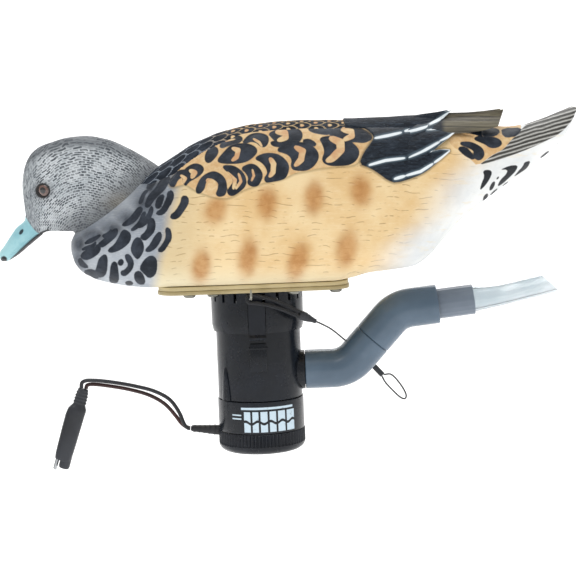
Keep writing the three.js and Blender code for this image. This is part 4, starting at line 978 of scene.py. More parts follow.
def hull_material():
    g = G("hull_paint_m")
    flow = g.vec('flow')
    sep = g.new('ShaderNodeSeparateXYZ')
    g.link(flow, sep.inputs[0])
    U, Vv = sep.outputs[0], sep.outputs[1]
    slow = g.noise(28, 4, 0.6)
    mid_n = g.noise(110, 4, 0.6)
    fine = g.noise(420, 3, 0.6)
    # streaks that follow the feathers down the body
    st = g.noise(1.0, 4, 0.65, src=g.scaled((0.09, 0.42, 0.05), src=flow, rot=(0, 0, math.radians(-12))), dist=0.6)
    st2 = g.noise(1.0, 3, 0.6, src=g.scaled((0.16, 1.1, 0.05), src=flow, rot=(0, 0, math.radians(8))), dist=0.9)
    # flank
    buff = g.mix(g.rng(slow, .35, .68), lin("EBD2A4"), lin("DFBD88"))
    buff = g.mix(g.math('MULTIPLY', g.rng(st, .5, .72), .30), buff, lin("F2DDB8"))
    buff = g.mix(g.math('MULTIPLY', g.rng(U, 222, 172), .60), buff, lin("D5C8A4"))
    buff = g.mix(g.math('MULTIPLY', g.rng(st2, .60, .70), .12), buff, lin("A98756"))
    wv = g.new('ShaderNodeTexWave', wave_type='BANDS', bands_direction='Y', wave_profile='SIN')
    g.link(flow, wv.inputs['Vector'])
    for key, val in (('Scale', .05), ('Distortion', 5.0), ('Detail', 1.0), ('Detail Scale', 1.0), ('Detail Roughness', .4)):
        wv.inputs[key].default_value = val
    lines = g.math('MULTIPLY', g.rng(wv.outputs['Fac'], .93, .995), g.rng(g.noise(.10, 2, .5, src=flow), .50, .60))
    side = g.math('SUBTRACT', 1.0, step(g, 'navy'))
    buff = g.mix(g.math('MULTIPLY', lines, .5), buff, lin("866238"))
    low = g.rng(Vv, 258, 290, 0, .8)
    buff = g.mix(low, buff, lin("DFD5B6"))
    rust_amt = g.math('MULTIPLY', g.rng(g.attr('rust'), .03, 1.0), g.rng(mid_n, .25, .75, .74, .94))
    buff = g.mix(rust_amt, buff, g.mix(g.rng(mid_n, .35, .65), lin("C08A50"), lin("B27C46")))
    # breast
    grey = g.mix(g.rng(slow, .35, .65), lin("B4BAC1"), lin("9299A3"))
    grey = g.mix(g.math('MULTIPLY', g.rng(st2, .5, .7), .5), grey, lin("D3D6D7"))
    # painted shade along the neck joint and low on the breast turns the grey slate
    grey = g.mix(g.math('MULTIPLY', g.attr('painted_neck_shade'), .95), grey, g.mix(g.rng(mid_n, .3, .7), lin("30343C"), lin("5C636D")))
    col = g.mix(g.attr('breast'), buff, grey)
    # white rear
    white = g.mix(g.rng(slow, .35, .7), lin("EDEEEC"), lin("D9DCDD"))
    white = g.mix(g.math('MULTIPLY', g.rng(g.noise(1.0, 3, .6, src=g.scaled((0.035, 0.22, .05), src=flow, rot=(0, 0, math.radians(52)))), .54, .70), .30), white, lin("E6D3AC"))
    col = g.mix(g.attr('white_rear'), col, white)
    # dark marks on the breast
    ink = g.mix(g.rng(mid_n, .35, .7), lin("20252D"), lin("373D47"))
    # rump and scapular tan
    tan = g.mix(g.rng(mid_n, .3, .7), lin("DDBE8E"), lin("CFA674"))
    tan = g.mix(g.math('MULTIPLY', g.rng(fine, .4, .7), .35), tan, lin("EFDBB4"))
    shade_t = g.rng(g.attr('tan'), 0.2, 3.5, .35, 0)
    tan = g.mix(g.math('MULTIPLY', g.rng(slow, .4, .6, 0, .3), .6), tan, lin("C2935E"))
    # painted shade: dark brown band just outside the raised tan scapulars, in the crease where they meet the body
    col = g.mix(g.rng(g.attr('tan'), -3.2, -0.2, 0, .55), col, lin("8A7752"))
    col = g.mix(step(g, 'tan'), col, tan)
    col = g.mix(step(g, 'rump'), col, tan)
    edge_c = g.mix(g.rng(U, 195, 245), lin("7E8690"), lin("C2A880"))
    col = g.mix(step(g, 'ridge'), col, g.mix(g.rng(mid_n, .35, .7), edge_c, g.mix(.45, edge_c, lin("3A3F47"))))
    off_top = g.math('SUBTRACT', 1.0, g.attr('topm'))
    mark = g.rng(g.math('MULTIPLY_ADD', off_top, .5, g.attr('dark')), -.5, .5)
    col = g.mix(mark, col, ink)
    inner = g.math('MULTIPLY', step(g, 'comma'), mark)
    col = g.mix(inner, col, g.mix(g.rng(mid_n, .35, .65), lin("E0C496"), lin("CFA176")))
    # ridge of the back
    # wing
    nv = g.mix(g.rng(st, .35, .7), lin("141A22"), lin("29323D"))
    nv = g.mix(g.math('MULTIPLY', g.rng(st2, .57, .68), .45), nv, lin("4C5660"))
    navy_only = nv
    nv = g.mix(step(g, 'grey'), nv, g.mix(g.rng(st2, .4, .6), lin("8C8B84"), lin("B9B6AC")))
    wt = g.attr('white')
    nv = g.mix(g.rng(wt, -2.6, 0.2, 0, .35), nv, lin("7F97A6"))
    nv = g.mix(g.rng(wt, -.4, .5), nv, lin("EAF1F4"))
    # painted shade: dark band just outside the raised wing, in the crease where it meets the body
    col = g.mix(g.rng(g.attr('navy'), -2.6, -.2, 0, .6), col, lin("6A5C44"))
    col = g.mix(step(g, 'navy'), col, nv)
    # tail
    along = g.math('ADD', g.math('MULTIPLY', U, 0.30), Vv)
    wave = g.math('SINE', g.math('MULTIPLY_ADD', g.math('ADD', along, g.math('MULTIPLY', g.noise(.05, 2, .5, src=flow), 3.0)), 1.62, 0.0))
    tcol = g.mix(g.rng(wave, -.5, .5), lin("474643"), lin("94938E"))
    tcol = g.mix(g.math('MULTIPLY', g.rng(wave, .82, .98), .75), tcol, lin("D9D9D5"))
    tcol = g.mix(g.math('MULTIPLY', g.rng(st2, .5, .65), .35), tcol, lin("34332F"))
    col = g.mix(g.math('MULTIPLY', step(g, 'tail'), g.math('SUBTRACT', 1.0, step(g, 'rump'))), col, tcol)
    col = g.mix(step(g, 'blacks'), col, lin("24262A"))
    # primaries
    pr_ = g.noise(1.0, 3, .6, src=g.scaled((0.018, 0.6, .1), src=flow, rot=(0, 0, math.radians(7))), dist=.2)
    pc = g.mix(g.rng(pr_, .36, .64), lin("4A463F"), lin("77715F"))
    isb = g.math('COMPARE', g.attr('blade'), 1.0, .2)
    col = g.mix(isb, col, g.mix(g.rng(U, 440, 447), navy_only, pc))
    # wear: thin rubbed spots, lighter, laid at random
    rub = g.rng(g.noise(75, 5, .7), .69, .76)
    col = g.mix(g.math('MULTIPLY', rub, .16), col, lin("C9BFA8"))
    rough = g.rng(g.noise(60, 4, .65), .3, .7, .50, .66)
    rough = g.mix(step(g, 'navy'), rough, (0.46, 0.46, 0.46, 1))
    g.set('Base Color', col)
    g.set('Roughness', rough)
    g.set('Specular IOR Level', g.math('MULTIPLY_ADD', g.attr('topm'), -.15, .16))
    h = g.math('ADD', g.math('MULTIPLY', st, .7), g.math('MULTIPLY', fine, .35))
    h = g.math('ADD', h, g.math('MULTIPLY', g.rng(st2, .58, .66), -.25))
    h = g.math('SUBTRACT', h, g.math('MULTIPLY', lines, .9))
    g.set('Normal', g.bump(h, .35, .0004))
    return g.m


def head_material():
    g = G("head_paint_m")
    flow = g.vec('flow')
    comb = g.new('ShaderNodeCombineXYZ')
    g.link(g.attr('fa'), comb.inputs[0])
    g.link(g.attr('fb'), comb.inputs[1])
    sep = g.new('ShaderNodeSeparateXYZ')
    g.link(flow, sep.inputs[0])
    U = sep.outputs[0]
    warp = g.noise(.09, 2, .5, src=flow)
    jig = g.new('ShaderNodeVectorMath', operation='SCALE')
    nz = g.new('ShaderNodeTexNoise')
    nz.inputs['Scale'].default_value = .06
    nz.inputs['Detail'].default_value = 2
    g.link(flow, nz.inputs['Vector'])
    g.link(nz.outputs['Color'], jig.inputs[0])
    jig.inputs['Scale'].default_value = 7.0
    add = g.new('ShaderNodeVectorMath', operation='ADD')
    g.link(comb.outputs[0], add.inputs[0])
    g.link(jig.outputs[0], add.inputs[1])
    br = g.new('ShaderNodeTexBrick')
    br.offset = .5
    g.link(add.outputs[0], br.inputs['Vector'])
    br.inputs['Scale'].default_value = 1.0
    br.inputs['Mortar Size'].default_value = .8
    br.inputs['Mortar Smooth'].default_value = .9
    br.inputs['Brick Width'].default_value = 4.4
    br.inputs['Row Height'].default_value = 2.5
    br.inputs['Color1'].default_value = (1, 1, 1, 1)
    br.inputs['Color2'].default_value = (.22, .22, .22, 1)
    br.inputs['Mortar'].default_value = (0, 0, 0, 1)
    dash = br.outputs['Color']
    patch = g.noise(.05, 3, .6, src=flow)
    fine = g.noise(1.1, 3, .65, src=g.scaled((.35, 1.3, .4), src=add.outputs[0]))
    bas = g.mix(g.rng(patch, .35, .65), lin("CBD0D4"), lin("B2B9BE"))
    bas = g.mix(g.math('MULTIPLY', g.rng(fine, .45, .62), .55), bas, lin("CDD2D4"))
    dk = g.math('MULTIPLY', g.rng(dash, .12, .55), g.rng(g.noise(.16, 3, .6, src=flow), .34, .56, .45, 1.0))
    bas = g.mix(g.math('MULTIPLY', dk, .92), bas, lin("3C4249"))
    # the face has long thin streaks
    face = g.rng(U, 44, 30)
    fs = g.noise(1.0, 3, .6, src=g.scaled((.9, .14, .3), src=flow, rot=(0, 0, math.radians(10))))
    bas = g.mix(g.math('MULTIPLY', face, .75), bas, g.mix(g.rng(fs, .42, .6), lin("A8AEB2"), lin("60666C")))
    crown = g.rng(g.math('ADD', g.attr('crown'), g.math('MULTIPLY', g.noise(.25, 3, .6, src=flow), .7)), .05, 1.0)
    bas = g.mix(g.math('MULTIPLY', crown, .72), bas, g.mix(g.rng(fine, .4, .6), lin("2F343B"), lin("4E545B")))
    brow = g.rng(g.attr('eyed'), 14, 6)
    bas = g.mix(g.math('MULTIPLY', brow, .45), bas, lin("3B3F45"))
    # painted shade: darker towards the neck joint and at the throat
    neck = g.rng(g.attr('seam'), 20, 1)
    bas = g.mix(g.math('MULTIPLY', neck, .78), bas, g.mix(g.rng(patch, .4, .6), lin("3C4149"), lin("6B6E70")))
    bas = g.mix(g.rng(g.attr('eyed'), 8.0, 6.8), bas, lin("2C2A2A"))
    bl = g.mix(g.rng(g.noise(80, 4, .6), .35, .68), lin("A6D2D8"), lin("8CBFC9"))
    bl = g.mix(g.rng(g.attr('nost'), 0.0, .7), bl, lin("2E3C42"))
    bas = g.mix(step(g, 'bill', .6), bas, bl)
    bas = g.mix(step(g, 'lower', .7), bas, lin("1E2126"))
    bas = g.mix(g.math('MULTIPLY', g.attr('buffy'), .5), bas, lin("C9BDA2"))
    rough = g.mix(step(g, 'bill'), g.rng(g.noise(70, 4, .6), .3, .7, .55, .7), (.42, .42, .42, 1))
    g.set('Base Color', bas)
    g.set('Roughness', rough)
    g.bsdf.inputs['Specular IOR Level'].default_value = .3
    nb = g.math('SUBTRACT', 1.0, step(g, 'bill'))
    h = g.math('MULTIPLY', g.math('SUBTRACT', g.math('MULTIPLY', fine, .6), g.math('MULTIPLY', dk, .7)), nb)
    g.set('Normal', g.bump(h, .55, .0005))
    return g.m


M_HULL = hull_material()
for ob in hull_parts:
    give(ob, M_HULL)
give(head, head_material())

# ------------------------------------------------------------- eyes, plate


def eye(name, sign):
    """low dome set on the head's own surface"""
    k = np.argmin(np.where(np.sign(hp[:, 1]) == sign, np.hypot(hu - 43.6, hv - 190.4), 1e9))
    P = HPs2.reshape(-1, 3)[k]
    n = normals(HPs)[k // nsg, k % nsg]
    a = np.cross(n, [0, 0, 1.0])
    a /= np.linalg.norm(a)
    b = np.cross(n, a)
    rings, er = [], []
    prof = [(4.25, -2.6), (4.25, -1.0)] + [(4.25 * math.cos(w), -0.6 + 2.3 * math.sin(w)) for w in np.linspace(0, math.pi / 2 * .985, 26)]
    for r, h in prof:
        c, s = circle(64)
        rings.append(P + n * h + r * (c[:, None] * a + s[:, None] * b))
        er.append(np.full(64, r))
    return loft(name, rings, attrs={'er': np.concatenate(er)}, angle=None)


def eye_material():
    g = G("eye_m")
    d = g.attr('er')
    iris = g.mix(g.rng(g.noise(900, 3, .6), .35, .65), lin("5A3F36"), lin("6E5047"))
    iris = g.mix(g.rng(d, 3.3, 3.9), iris, lin("2B1C16"))
    g.set('Base Color', g.mix(g.rng(d, 1.9, 2.4), lin("0A0808"), iris))
    g.bsdf.inputs['Roughness'].default_value = .08
    g.bsdf.inputs['Coat Weight'].default_value = 1.0
    g.bsdf.inputs['Coat Roughness'].default_value = .03
    g.set('Normal', g.bump(g.noise(1400, 2, .5), .02, .0001))
    return g.m


M_EYE = eye_material()
for nm, sg, node_name in (("left_eye_fine", -1, "left_eye"), ("right_eye_fine", 1, "right_eye")):
    e = eye(nm, sg)
    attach(e, "decoy")
    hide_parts(node_name)
    give(e, M_EYE)


def round_rect(x0, x1, hy, r, n=14):
    pts = []
    for cx, cy, a0 in ((x1 - r, hy - r, 0), (x0 + r, hy - r, 90), (x0 + r, -hy + r, 180), (x1 - r, -hy + r, 270)):
        for k in range(n):
            a = math.radians(a0 + 90 * k / (n - 1))
            pts.append((cx + r * math.cos(a), cy + r * math.sin(a)))
    return np.array(pts)


def put(ob, body, node_name, mat):
    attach(ob, body)
    nodes = [node_name] if isinstance(node_name, str) else node_name
    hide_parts(*nodes)
    give(ob, mat)
    return ob


def slab(name, x0, x1, hy, r, z0, z1, edge, **kw):
    rows = []
    for z, off in ((z0, edge), (z0 + edge * .3, edge * .3), (z0 + edge, 0), (z1 - edge, 0), (z1 - edge * .3, edge * .3), (z1, edge)):
        p = round_rect(x0 + off, x1 - off, hy - off, max(r - off, .5))
        rows.append(np.column_stack([p, np.full(len(p), z)]))
    return loft(name, rows, **kw)


M_PLATE = plain("plate_m", "B5A67E", "9A8C64", (.40, .58), scale=500, bump=.12)
M_STEEL = plain("screw_m", "9A9990", "6F6E66", (.22, .38), metal=1.0, scale=700, bump=.1)
M_BLACK = plain("black_gloss_m", "0E1218", "161B24", (.18, .30), scale=420, bump=.03, bdist=.0001, spec=.28)
M_BLACK2 = plain("black_satin_m", "0F131A", "1A1F28", (.24, .40), scale=500, bump=.05, spec=.30)
M_RUB = plain("rubber_m", "16171A", "24262A", (.45, .62), scale=700, bump=.15)
M_PVC = plain("pvc_m", "5B6E80", "4A5C6D", (.16, .27), scale=500, bump=.05, big=14)
M_PVC2 = plain("pvc_nipple_m", "6C7784", "5E6976", (.28, .42), scale=500, bump=.05, big=14)

plate_ob = slab("belly_plate_fine", -64, 61, 39, 14, -2.0, 0.6, .7)
put(plate_ob, "decoy", "belly_plate", M_PLATE)
gasket_ob = slab("plate_gasket_fine", -63.4, 60.4, 38.4, 13.4, 0.7, 3.4, .3)
put(gasket_ob, "decoy", "plate_gasket", plain("gasket_m", "CBBD93", "B9AA80", (.5, .7), scale=600, bump=.15))


def screw(name, x, y, z0=-2.3, z1=-4.3, R=4.0, turn=0.0):
    """pan head with a cross recess"""
    n = 64
    prof = [(R * .98, z0), (R, z0 - .35), (R * .97, z0 - .9), (R * .86, z0 - 1.45), (R * .66, z1 + .12), (R * .44, z1)]
    rows = []
    for r, z in prof:
        c, s = circle(n)
        rows.append(np.stack([x + r * c, y + r * s, np.full(n, z)], -1))
    for f in (.36, .30, .2, .1, .03):
        c, s = circle(n)
        th = np.arctan2(s, c) + turn
        arm = np.maximum(np.abs(np.cos(th)), np.abs(np.sin(th))) ** 14
        depth = 1.1 * arm if f > .12 else np.full(n, 1.1)
        k = 1.0 if f > .25 else .9
        rows.append(np.stack([x + R * f * c * k, y + R * f * s * k, z1 + depth * (1.0 if f < .36 else .15)], -1))
    return loft(name, rows, angle=35)


spots = [(-43, 33), (-27.5, 33), (24.5, 33), (52, 31)]
for i in range(8):
    sx_, sy_ = spots[i % 4]
    if i >= 4:
        sy_ = -sy_
    o = screw("plate_screw_%d_fine" % (i + 1), sx_, sy_, turn=.4 + i)
    put(o, "decoy", "plate_screw_%d" % (i + 1), M_STEEL)
for i in range(1, 5):
    cad("strainer_screw_%d" % i, M_STEEL)
cad("tether_eye", M_STEEL)

# ---------------------------------------------------- strainer and housing


def masked_shell(name, zs, ro, ri, mask, seg, **kw):
    """round wall of given outer and inner radius by row, open wherever mask is False"""
    c, s = circle(seg)
    n = len(zs)
    V = np.concatenate([np.stack([r[:, None] * c, r[:, None] * s, np.repeat(np.array(zs)[:, None], seg, 1)], -1).reshape(-1, 3) for r in (np.array(ro, float), np.array(ri, float))])
    off = n * seg
    F = []

    def I(i, j, k):
        return k * off + i * seg + j % seg
    for i in range(n - 1):
        for j in range(seg):
            if not mask[i][j]:
                continue
            F.append([I(i, j, 0), I(i, j + 1, 0), I(i + 1, j + 1, 0), I(i + 1, j, 0)])
            F.append([I(i, j, 1), I(i + 1, j, 1), I(i + 1, j + 1, 1), I(i, j + 1, 1)])
            if i == 0 or not mask[i - 1][j]:
                F.append([I(i, j, 0), I(i, j, 1), I(i, j + 1, 1), I(i, j + 1, 0)])
            if i == n - 2 or not mask[i + 1][j]:
                F.append([I(i + 1, j, 0), I(i + 1, j + 1, 0), I(i + 1, j + 1, 1), I(i + 1, j, 1)])
            if not mask[i][(j - 1) % seg]:
                F.append([I(i, j, 0), I(i + 1, j, 0), I(i + 1, j, 1), I(i, j, 1)])
            if not mask[i][(j + 1) % seg]:
                F.append([I(i, j + 1, 0), I(i, j + 1, 1), I(i + 1, j + 1, 1), I(i + 1, j + 1, 0)])
    return build(name, V, F, **kw)


SEG = 360
zs = [-2.3, -2.6, -3.1, -9.6, -10.4, -12, -18, -25.4, -26.0, -27.5, -29.4, -30.0]
ro = [30.2, 30.5, 30.5, 30.5, 30.5, 30.5, 30.5, 30.5, 30.4, 30.1, 29.7, 29.5]
ri = [28.7] * len(zs)
az = (np.arange(SEG) + .5) * 2 * np.pi / SEG
slot_half = 1.15 / 30.0
slots_ = np.zeros(SEG, bool)
for q in range(20):
    d_ = np.abs((az - (q + .5) * 2 * np.pi / 20 + np.pi) % (2 * np.pi) - np.pi)
    slots_ |= d_ < slot_half
window = np.abs(np.cos(az)) * 30.0 < 5.9
mask = []
for i in range(len(zs) - 1):
    zm = (zs[i] + zs[i + 1]) / 2
    row = np.ones(SEG, bool)
    if -9.6 < zm < -3.1:
        row &= ~slots_
    if zm < -9.6:
        row &= ~window
    mask.append(row)
strainer_ob = masked_shell("strainer_base_fine", zs, ro, ri, mask, SEG, angle=30)
# its floor under the plate
fl = revolve("strainer_floor", soften([(28.9, -2.3), (28.9, -4.0), (7, -4.0), (7, -2.3)], .2, 2), seg=120)
put(strainer_ob, "decoy", "strainer_base", M_BLACK)
put(fl, "decoy", "strainer_base", M_BLACK)
cad("latch_front", M_BLACK2)
cad("latch_rear", M_BLACK2)


def join_mesh(name, items, angle=35):
    V, F, off = [], [], 0
    for ob in items:
        co = np.empty(len(ob.data.vertices) * 3)
        ob.data.vertices.foreach_get('co', co)
        V.append(co.reshape(-1, 3) / MM)
        F += [[v + off for v in p.vertices] for p in ob.data.polygons]
        off += len(ob.data.vertices)
        bpy.data.objects.remove(ob)
    return build(name, np.vstack(V), F, angle=angle)


def block(name, x0, x1, y0, y1, z0, z1, b=.5):
    """box with rounded vertical and horizontal edges"""
    rows = []
    for z, o in ((z0, b), (z0 + b * .3, b * .3), (z0 + b, 0), (z1 - b, 0), (z1 - b * .3, b * .3), (z1, b)):
        hy = (y1 - y0) / 2 - o
        p = round_rect(x0 + o, x1 - o, hy, max(min(b * 1.2, hy * .9), .05), 5)
        p[:, 1] += (y0 + y1) / 2
        rows.append(np.column_stack([p, np.full(len(p), z)]))
    return loft(name, rows)


parts_ = [revolve("h0", soften([(27.2, -12.0), (28.0, -12.8), (28.0, -30), (28.0, -75.0), (27.7, -75.4), (26.2, -75.4), (26.2, -14.0), (9, -13.4), (9, -12.2)], .5, 3), seg=200)]
for sg in (-1, 1):
    y0, y1 = sorted((sg * 26.5, sg * 29.6))
    parts_.append(block("h1", -5.4, 5.4, y0, y1, -55.5, -36.5, .6))
    y0, y1 = sorted((sg * 26.5, sg * 29.9))
    parts_.append(block("h2", -6.2, 6.2, y0, y1, -40.4, -38.9, .3))
# teardrop bosses
for azd in (-143, 37):
    a0 = math.radians(azd)
    rows = []
    for zq in np.linspace(-53.2, -75.2, 40):
        f = (-53.0 - zq) / 22.3
        hw_ = 4.6 * math.sqrt(max(f, .001)) * (1.0 if f < .9 else 1 - (f - .9) * .6)
        lift_ = 29.4 * min(1, .955 + .045 * math.sqrt(min(f * 5, 1)))
        th_ = np.linspace(-1, 1, 15)
        outer = [((lift_ - .9 * abs(q) ** 3) * math.cos(a0 + q * hw_ / 28), (lift_ - .9 * abs(q) ** 3) * math.sin(a0 + q * hw_ / 28), zq) for q in th_]
        inner = [(27.0 * math.cos(a0 + q * hw_ / 28), 27.0 * math.sin(a0 + q * hw_ / 28), zq) for q in th_[::-1]]
        rows.append(outer + inner)
    parts_.append(loft("h3", rows))


def xcyl(name, prof, zc_, seg=96, near=0.0):
    """turned part along X; it starts on the upright cylinder of radius near"""
    c, s = circle(seg)
    return loft(name, [np.stack([np.maximum(x, np.sqrt(np.maximum(near ** 2 - (r * c) ** 2, 0))), r * c, zc_ + r * s], -1) for x, r in prof], wrap_rows=True)


parts_.append(xcyl("h4", soften([(21, 13.0), (29.8, 13.0), (30.2, 12.6), (30.2, 10.0), (44.0, 9.9), (44.0, 8.0), (21, 8.0)], .3, 2), -58.9, near=27.1))
housing_ob = join_mesh("pump_housing_fine", parts_)
put(housing_ob, "decoy", "pump_housing", M_BLACK)


def case_material():
    """black moulding with a plain pad-printed mark: solid bars over a wave line, no lettering"""
    g = G("case_m")
    sep = g.new('ShaderNodeSeparateXYZ')
    g.link(g.obj(), sep.inputs[0])
    X, Y, Z = sep.outputs
    th = g.math('MULTIPLY', g.math('ARCTAN2', X, g.math('MULTIPLY', Y, -1.0)), 28.6)     # arc length, mm, 0 towards -Y
    zz = g.math('MULTIPLY', Z, 1000.0)

    def band(v, a, b, w=.12):
        return g.math('MULTIPLY', g.rng(v, a - w, a + w), g.rng(v, b + w, b - w))
    bars = None
    for a, b, lo, hi in ((-11.4, -7.0, -95.4, -81.8), (-5.6, -1.6, -95.4, -81.8), (-.2, 4.4, -95.4, -81.8), (5.8, 10.2, -95.4, -81.8), (11.6, 16.8, -95.4, -81.8), (18.2, 24.6, -95.4, -81.8)):
        q = g.math('MULTIPLY', band(th, a, b), band(zz, lo, hi))
        bars = q if bars is None else g.math('MAXIMUM', bars, q)
    wv = g.math('ADD', zz, g.math('MULTIPLY', g.math('SINE', g.math('MULTIPLY', th, .75)), .9))
    cut = g.math('SUBTRACT', 1.0, band(wv, -89.9, -88.1))
    mark = g.math('MULTIPLY', bars, cut)
    rule = g.math('MULTIPLY', band(th, -13.4, 23.4), band(zz, -80.4, -78.9))
    small = g.math('MULTIPLY', band(th, -20.5, -13.4), g.math('MAXIMUM', band(zz, -84.6, -83.7), band(zz, -87.0, -86.1)))
    front = g.rng(Y, -.002, -.004)
    ink = g.math('MULTIPLY', g.math('MAXIMUM', g.math('MAXIMUM', mark, rule), small), front)
    worn = g.rng(g.noise(420, 4, .7), .30, .42, .55, 1.0)
    base = g.mix(g.rng(g.noise(22, 4, .6), .35, .68), lin("0F1319"), lin("171C24"))
    g.set('Base Color', g.mix(g.math('MULTIPLY', ink, worn), base, lin("C9DCE8")))
    g.set('Roughness', g.mix(ink, g.rng(g.noise(60, 4, .6), .3, .7, .18, .32), (.5, .5, .5, 1)))
    g.bsdf.inputs['Coat Weight'].default_value = .08
    g.bsdf.inputs['Specular IOR Level'].default_value = .3
    g.set('Normal', g.bump(g.noise(420, 3, .6), .05, .00015))
    return g.m


case_ob = revolve("motor_case_fine", soften([(28.6, -75.9), (28.6, -96.7), (28.2, -96.9), (24.6, -96.9), (24.6, -70.3), (25.6, -70.3), (25.6, -75.7), (28.4, -75.7)], .3, 3), seg=160)
put(case_ob, "motor_unit", "motor_case", case_material())
cad("case_oring", M_RUB)


def cap_mod(i, rr, zz, c, s):
    a = np.arctan2(s, c)
    ribs = np.clip(np.sin(a * 72) * 1.6, -1, 1)
    k = (np.abs(zz + 101.6) < 4.1) & (rr > 28.3)
    return rr + np.where(k, .38 * ribs - .38, 0), zz


prof = [(28.5, -97.2), (28.9, -97.6), (28.9, -98.1), (28.9, -98.3), (28.9, -100), (28.9, -102), (28.9, -104), (28.9, -105.4), (28.9, -105.9), (28.6, -107.2), (28.0, -108.4), (27.0, -109.5),
        (25.6, -110.4), (23.8, -111.0), (22.8, -111.0), (22.5, -110.7), (14, -110.5), (6, -110.5), (1.2, -110.5), (1.2, -108), (18, -107.6), (24.6, -106.2), (25.2, -104), (25.2, -97.2)]
cap_ob = revolve("motor_cap_fine", prof, seg=432, mod=cap_mod)
put(cap_ob, "motor_unit", "motor_cap", M_BLACK2)

# gland: ribbed strain relief
gp = Path([(-24.3, -98.2), (-36, -97.1), (-47.6, -95.9)])
grow = []
gt = []
for k in range(60):
    f = k / 59
    s_ = f * gp.L
    x_, t_ = gp.at(s_)
    N_ = np.array([-t_[1], t_[0]])
    h1 = 3.5 + (2.2 - 3.5) * smooth01(0, 1, f)
    h2 = 3.5 + (3.2 - 3.5) * f
    rib = 1.0 + (.07 * max(0, math.sin(f * 2 * math.pi * 7)) if .25 < f < .92 else 0)
    end = min(1.0, .55 + .45 * math.sqrt(max(0, min(1, (1 - f) * 14))))
    c, s = circle(40)
    gx = spow(c, 2.4) * h1 * rib * end
    gy = spow(s, 2.4) * h2 * rib * end
    grow.append(np.stack([x_[0] + N_[0] * gx, gy, x_[1] + N_[1] * gx], -1))
gl = loft("cable_gland_fine", grow, angle=45)
put(gl, "motor_unit", "cable_gland", M_RUB)

# -------------------------------------------------------------- pipe work
V1, V2 = np.array([58.6, -58.9]), np.array([93.4, -21.0])
seam = (V1 + V2) / 2
r5 = math.radians(5.5)
up_end = V2 + 26.8 * np.array([math.cos(r5), math.sin(r5)])
plow = bend_path((30.5, -58.9), V1, seam, 22)
pup = bend_path(seam, V2, up_end, 22)


def elbow(name, path, s0, s1, sock0, sock1):
    prof = [(s0, 12.6), (s0 + .4, 13.0), (s1 - .4, 13.0), (s1, 12.6), (s1, 10.5), (s1 - .3, 10.3), (s1 - sock1, 10.3), (s1 - sock1, 8.2),
            (s0 + sock0, 8.2), (s0 + sock0, 10.3), (s0 + .3, 10.3), (s0, 10.5)]
    return sweep(name, path, prof, seg=96, step=1.0, angle=35)


lo_ob = elbow("lower_elbow_fine", plow, 0, plow.L - .15, 14, 13.4)
put(lo_ob, "elbow_lower", "lower_elbow", M_PVC)
up_ob = elbow("upper_elbow_fine", pup, .15, pup.L, 13.4, 14)
put(up_ob, "elbow_upper", "upper_elbow", M_PVC)
cad("elbow_coupler", M_PVC2)
cad("nozzle_nipple", M_PVC2)


def clear_material():
    g = G("clear_m")
    g.set('Base Color', g.mix(g.rng(g.noise(40, 3, .6), .35, .7), lin("F2F6F8"), lin("DDE6EA")))
    g.set('Roughness', g.rng(g.noise(90, 3, .6), .3, .7, .06, .2))
    g.bsdf.inputs['Transmission Weight'].default_value = .82
    g.bsdf.inputs['IOR'].default_value = 1.42
    g.set('Normal', g.bump(g.noise(160, 3, .6), .12, .0004))
    return g.m


cad("clear_nozzle", clear_material())

# ------------------------------------------------------------ cords' look


def braid(name, a, b, pitch=2.2):
    g = G(name)
    al, ar = g.attr('along'), g.attr('around')
    k = 2 * math.pi
    s1 = g.math('SINE', g.math('MULTIPLY_ADD', al, k / pitch, g.math('MULTIPLY', ar, k * 6)))
    s2 = g.math('SINE', g.math('MULTIPLY_ADD', al, k / pitch, g.math('MULTIPLY', ar, -k * 6)))
    wv = g.math('MAXIMUM', s1, s2)
    # painted shade: the low parts of the weave take the darker colour, the raised strands the lighter one
    g.set('Base Color', g.mix(g.rng(wv, .1, .9), lin(a), lin(b)))
    g.bsdf.inputs['Roughness'].default_value = .7
    g.set('Normal', g.bump(wv, .8, .0004))
    return g.m


M_WB = plain("wire_black_m", "15161A", "22242A", (.30, .45), scale=600, bump=.05)
M_WR = plain("wire_red_m", "3A1713", "2A100E", (.30, .45), scale=600, bump=.05)
M_LINE = plain("line_m", "17181B", "2A2C30", (.35, .5), scale=600, bump=.06)
for o, sl_, m_ in ((lead_black, "wire_black", M_WB), (lead_red, "wire_red", M_WR), (bungee, "bungee_fabric", braid("bungee_m", "101114", "2C2E33")),
                   (line, "line_nylon", M_LINE), (loop, "loop_nylon", M_LINE)):
    give(o, m_)
M_CRIMP = plain("crimp_m", "2A2C30", "3C3F45", (.3, .45), metal=.3, scale=600, bump=.08)
rows = []
for f in np.linspace(0, 1, 34):
    p_ = c0 + (c1 - c0) * f
    k = smooth01(0, .08, f) * .25 + .75
    k2 = 1 - .5 * smooth01(.3, 1, f)
    groove = 1 - .07 * (abs((f * 5) % 1 - .5) < .12)
    c, s = circle(40)
    rows.append(p_ + (3.0 * k * k2 * groove * spow(c, 2.6))[:, None] * cw + (1.8 * k * (1 - .2 * f) * groove * spow(s, 2.6))[:, None] * cv)
crimp_ob = loft("tether_crimp_fine", rows)
put(crimp_ob, "decoy", "tether_crimp", M_CRIMP)
cad("loop_crimp", M_CRIMP)

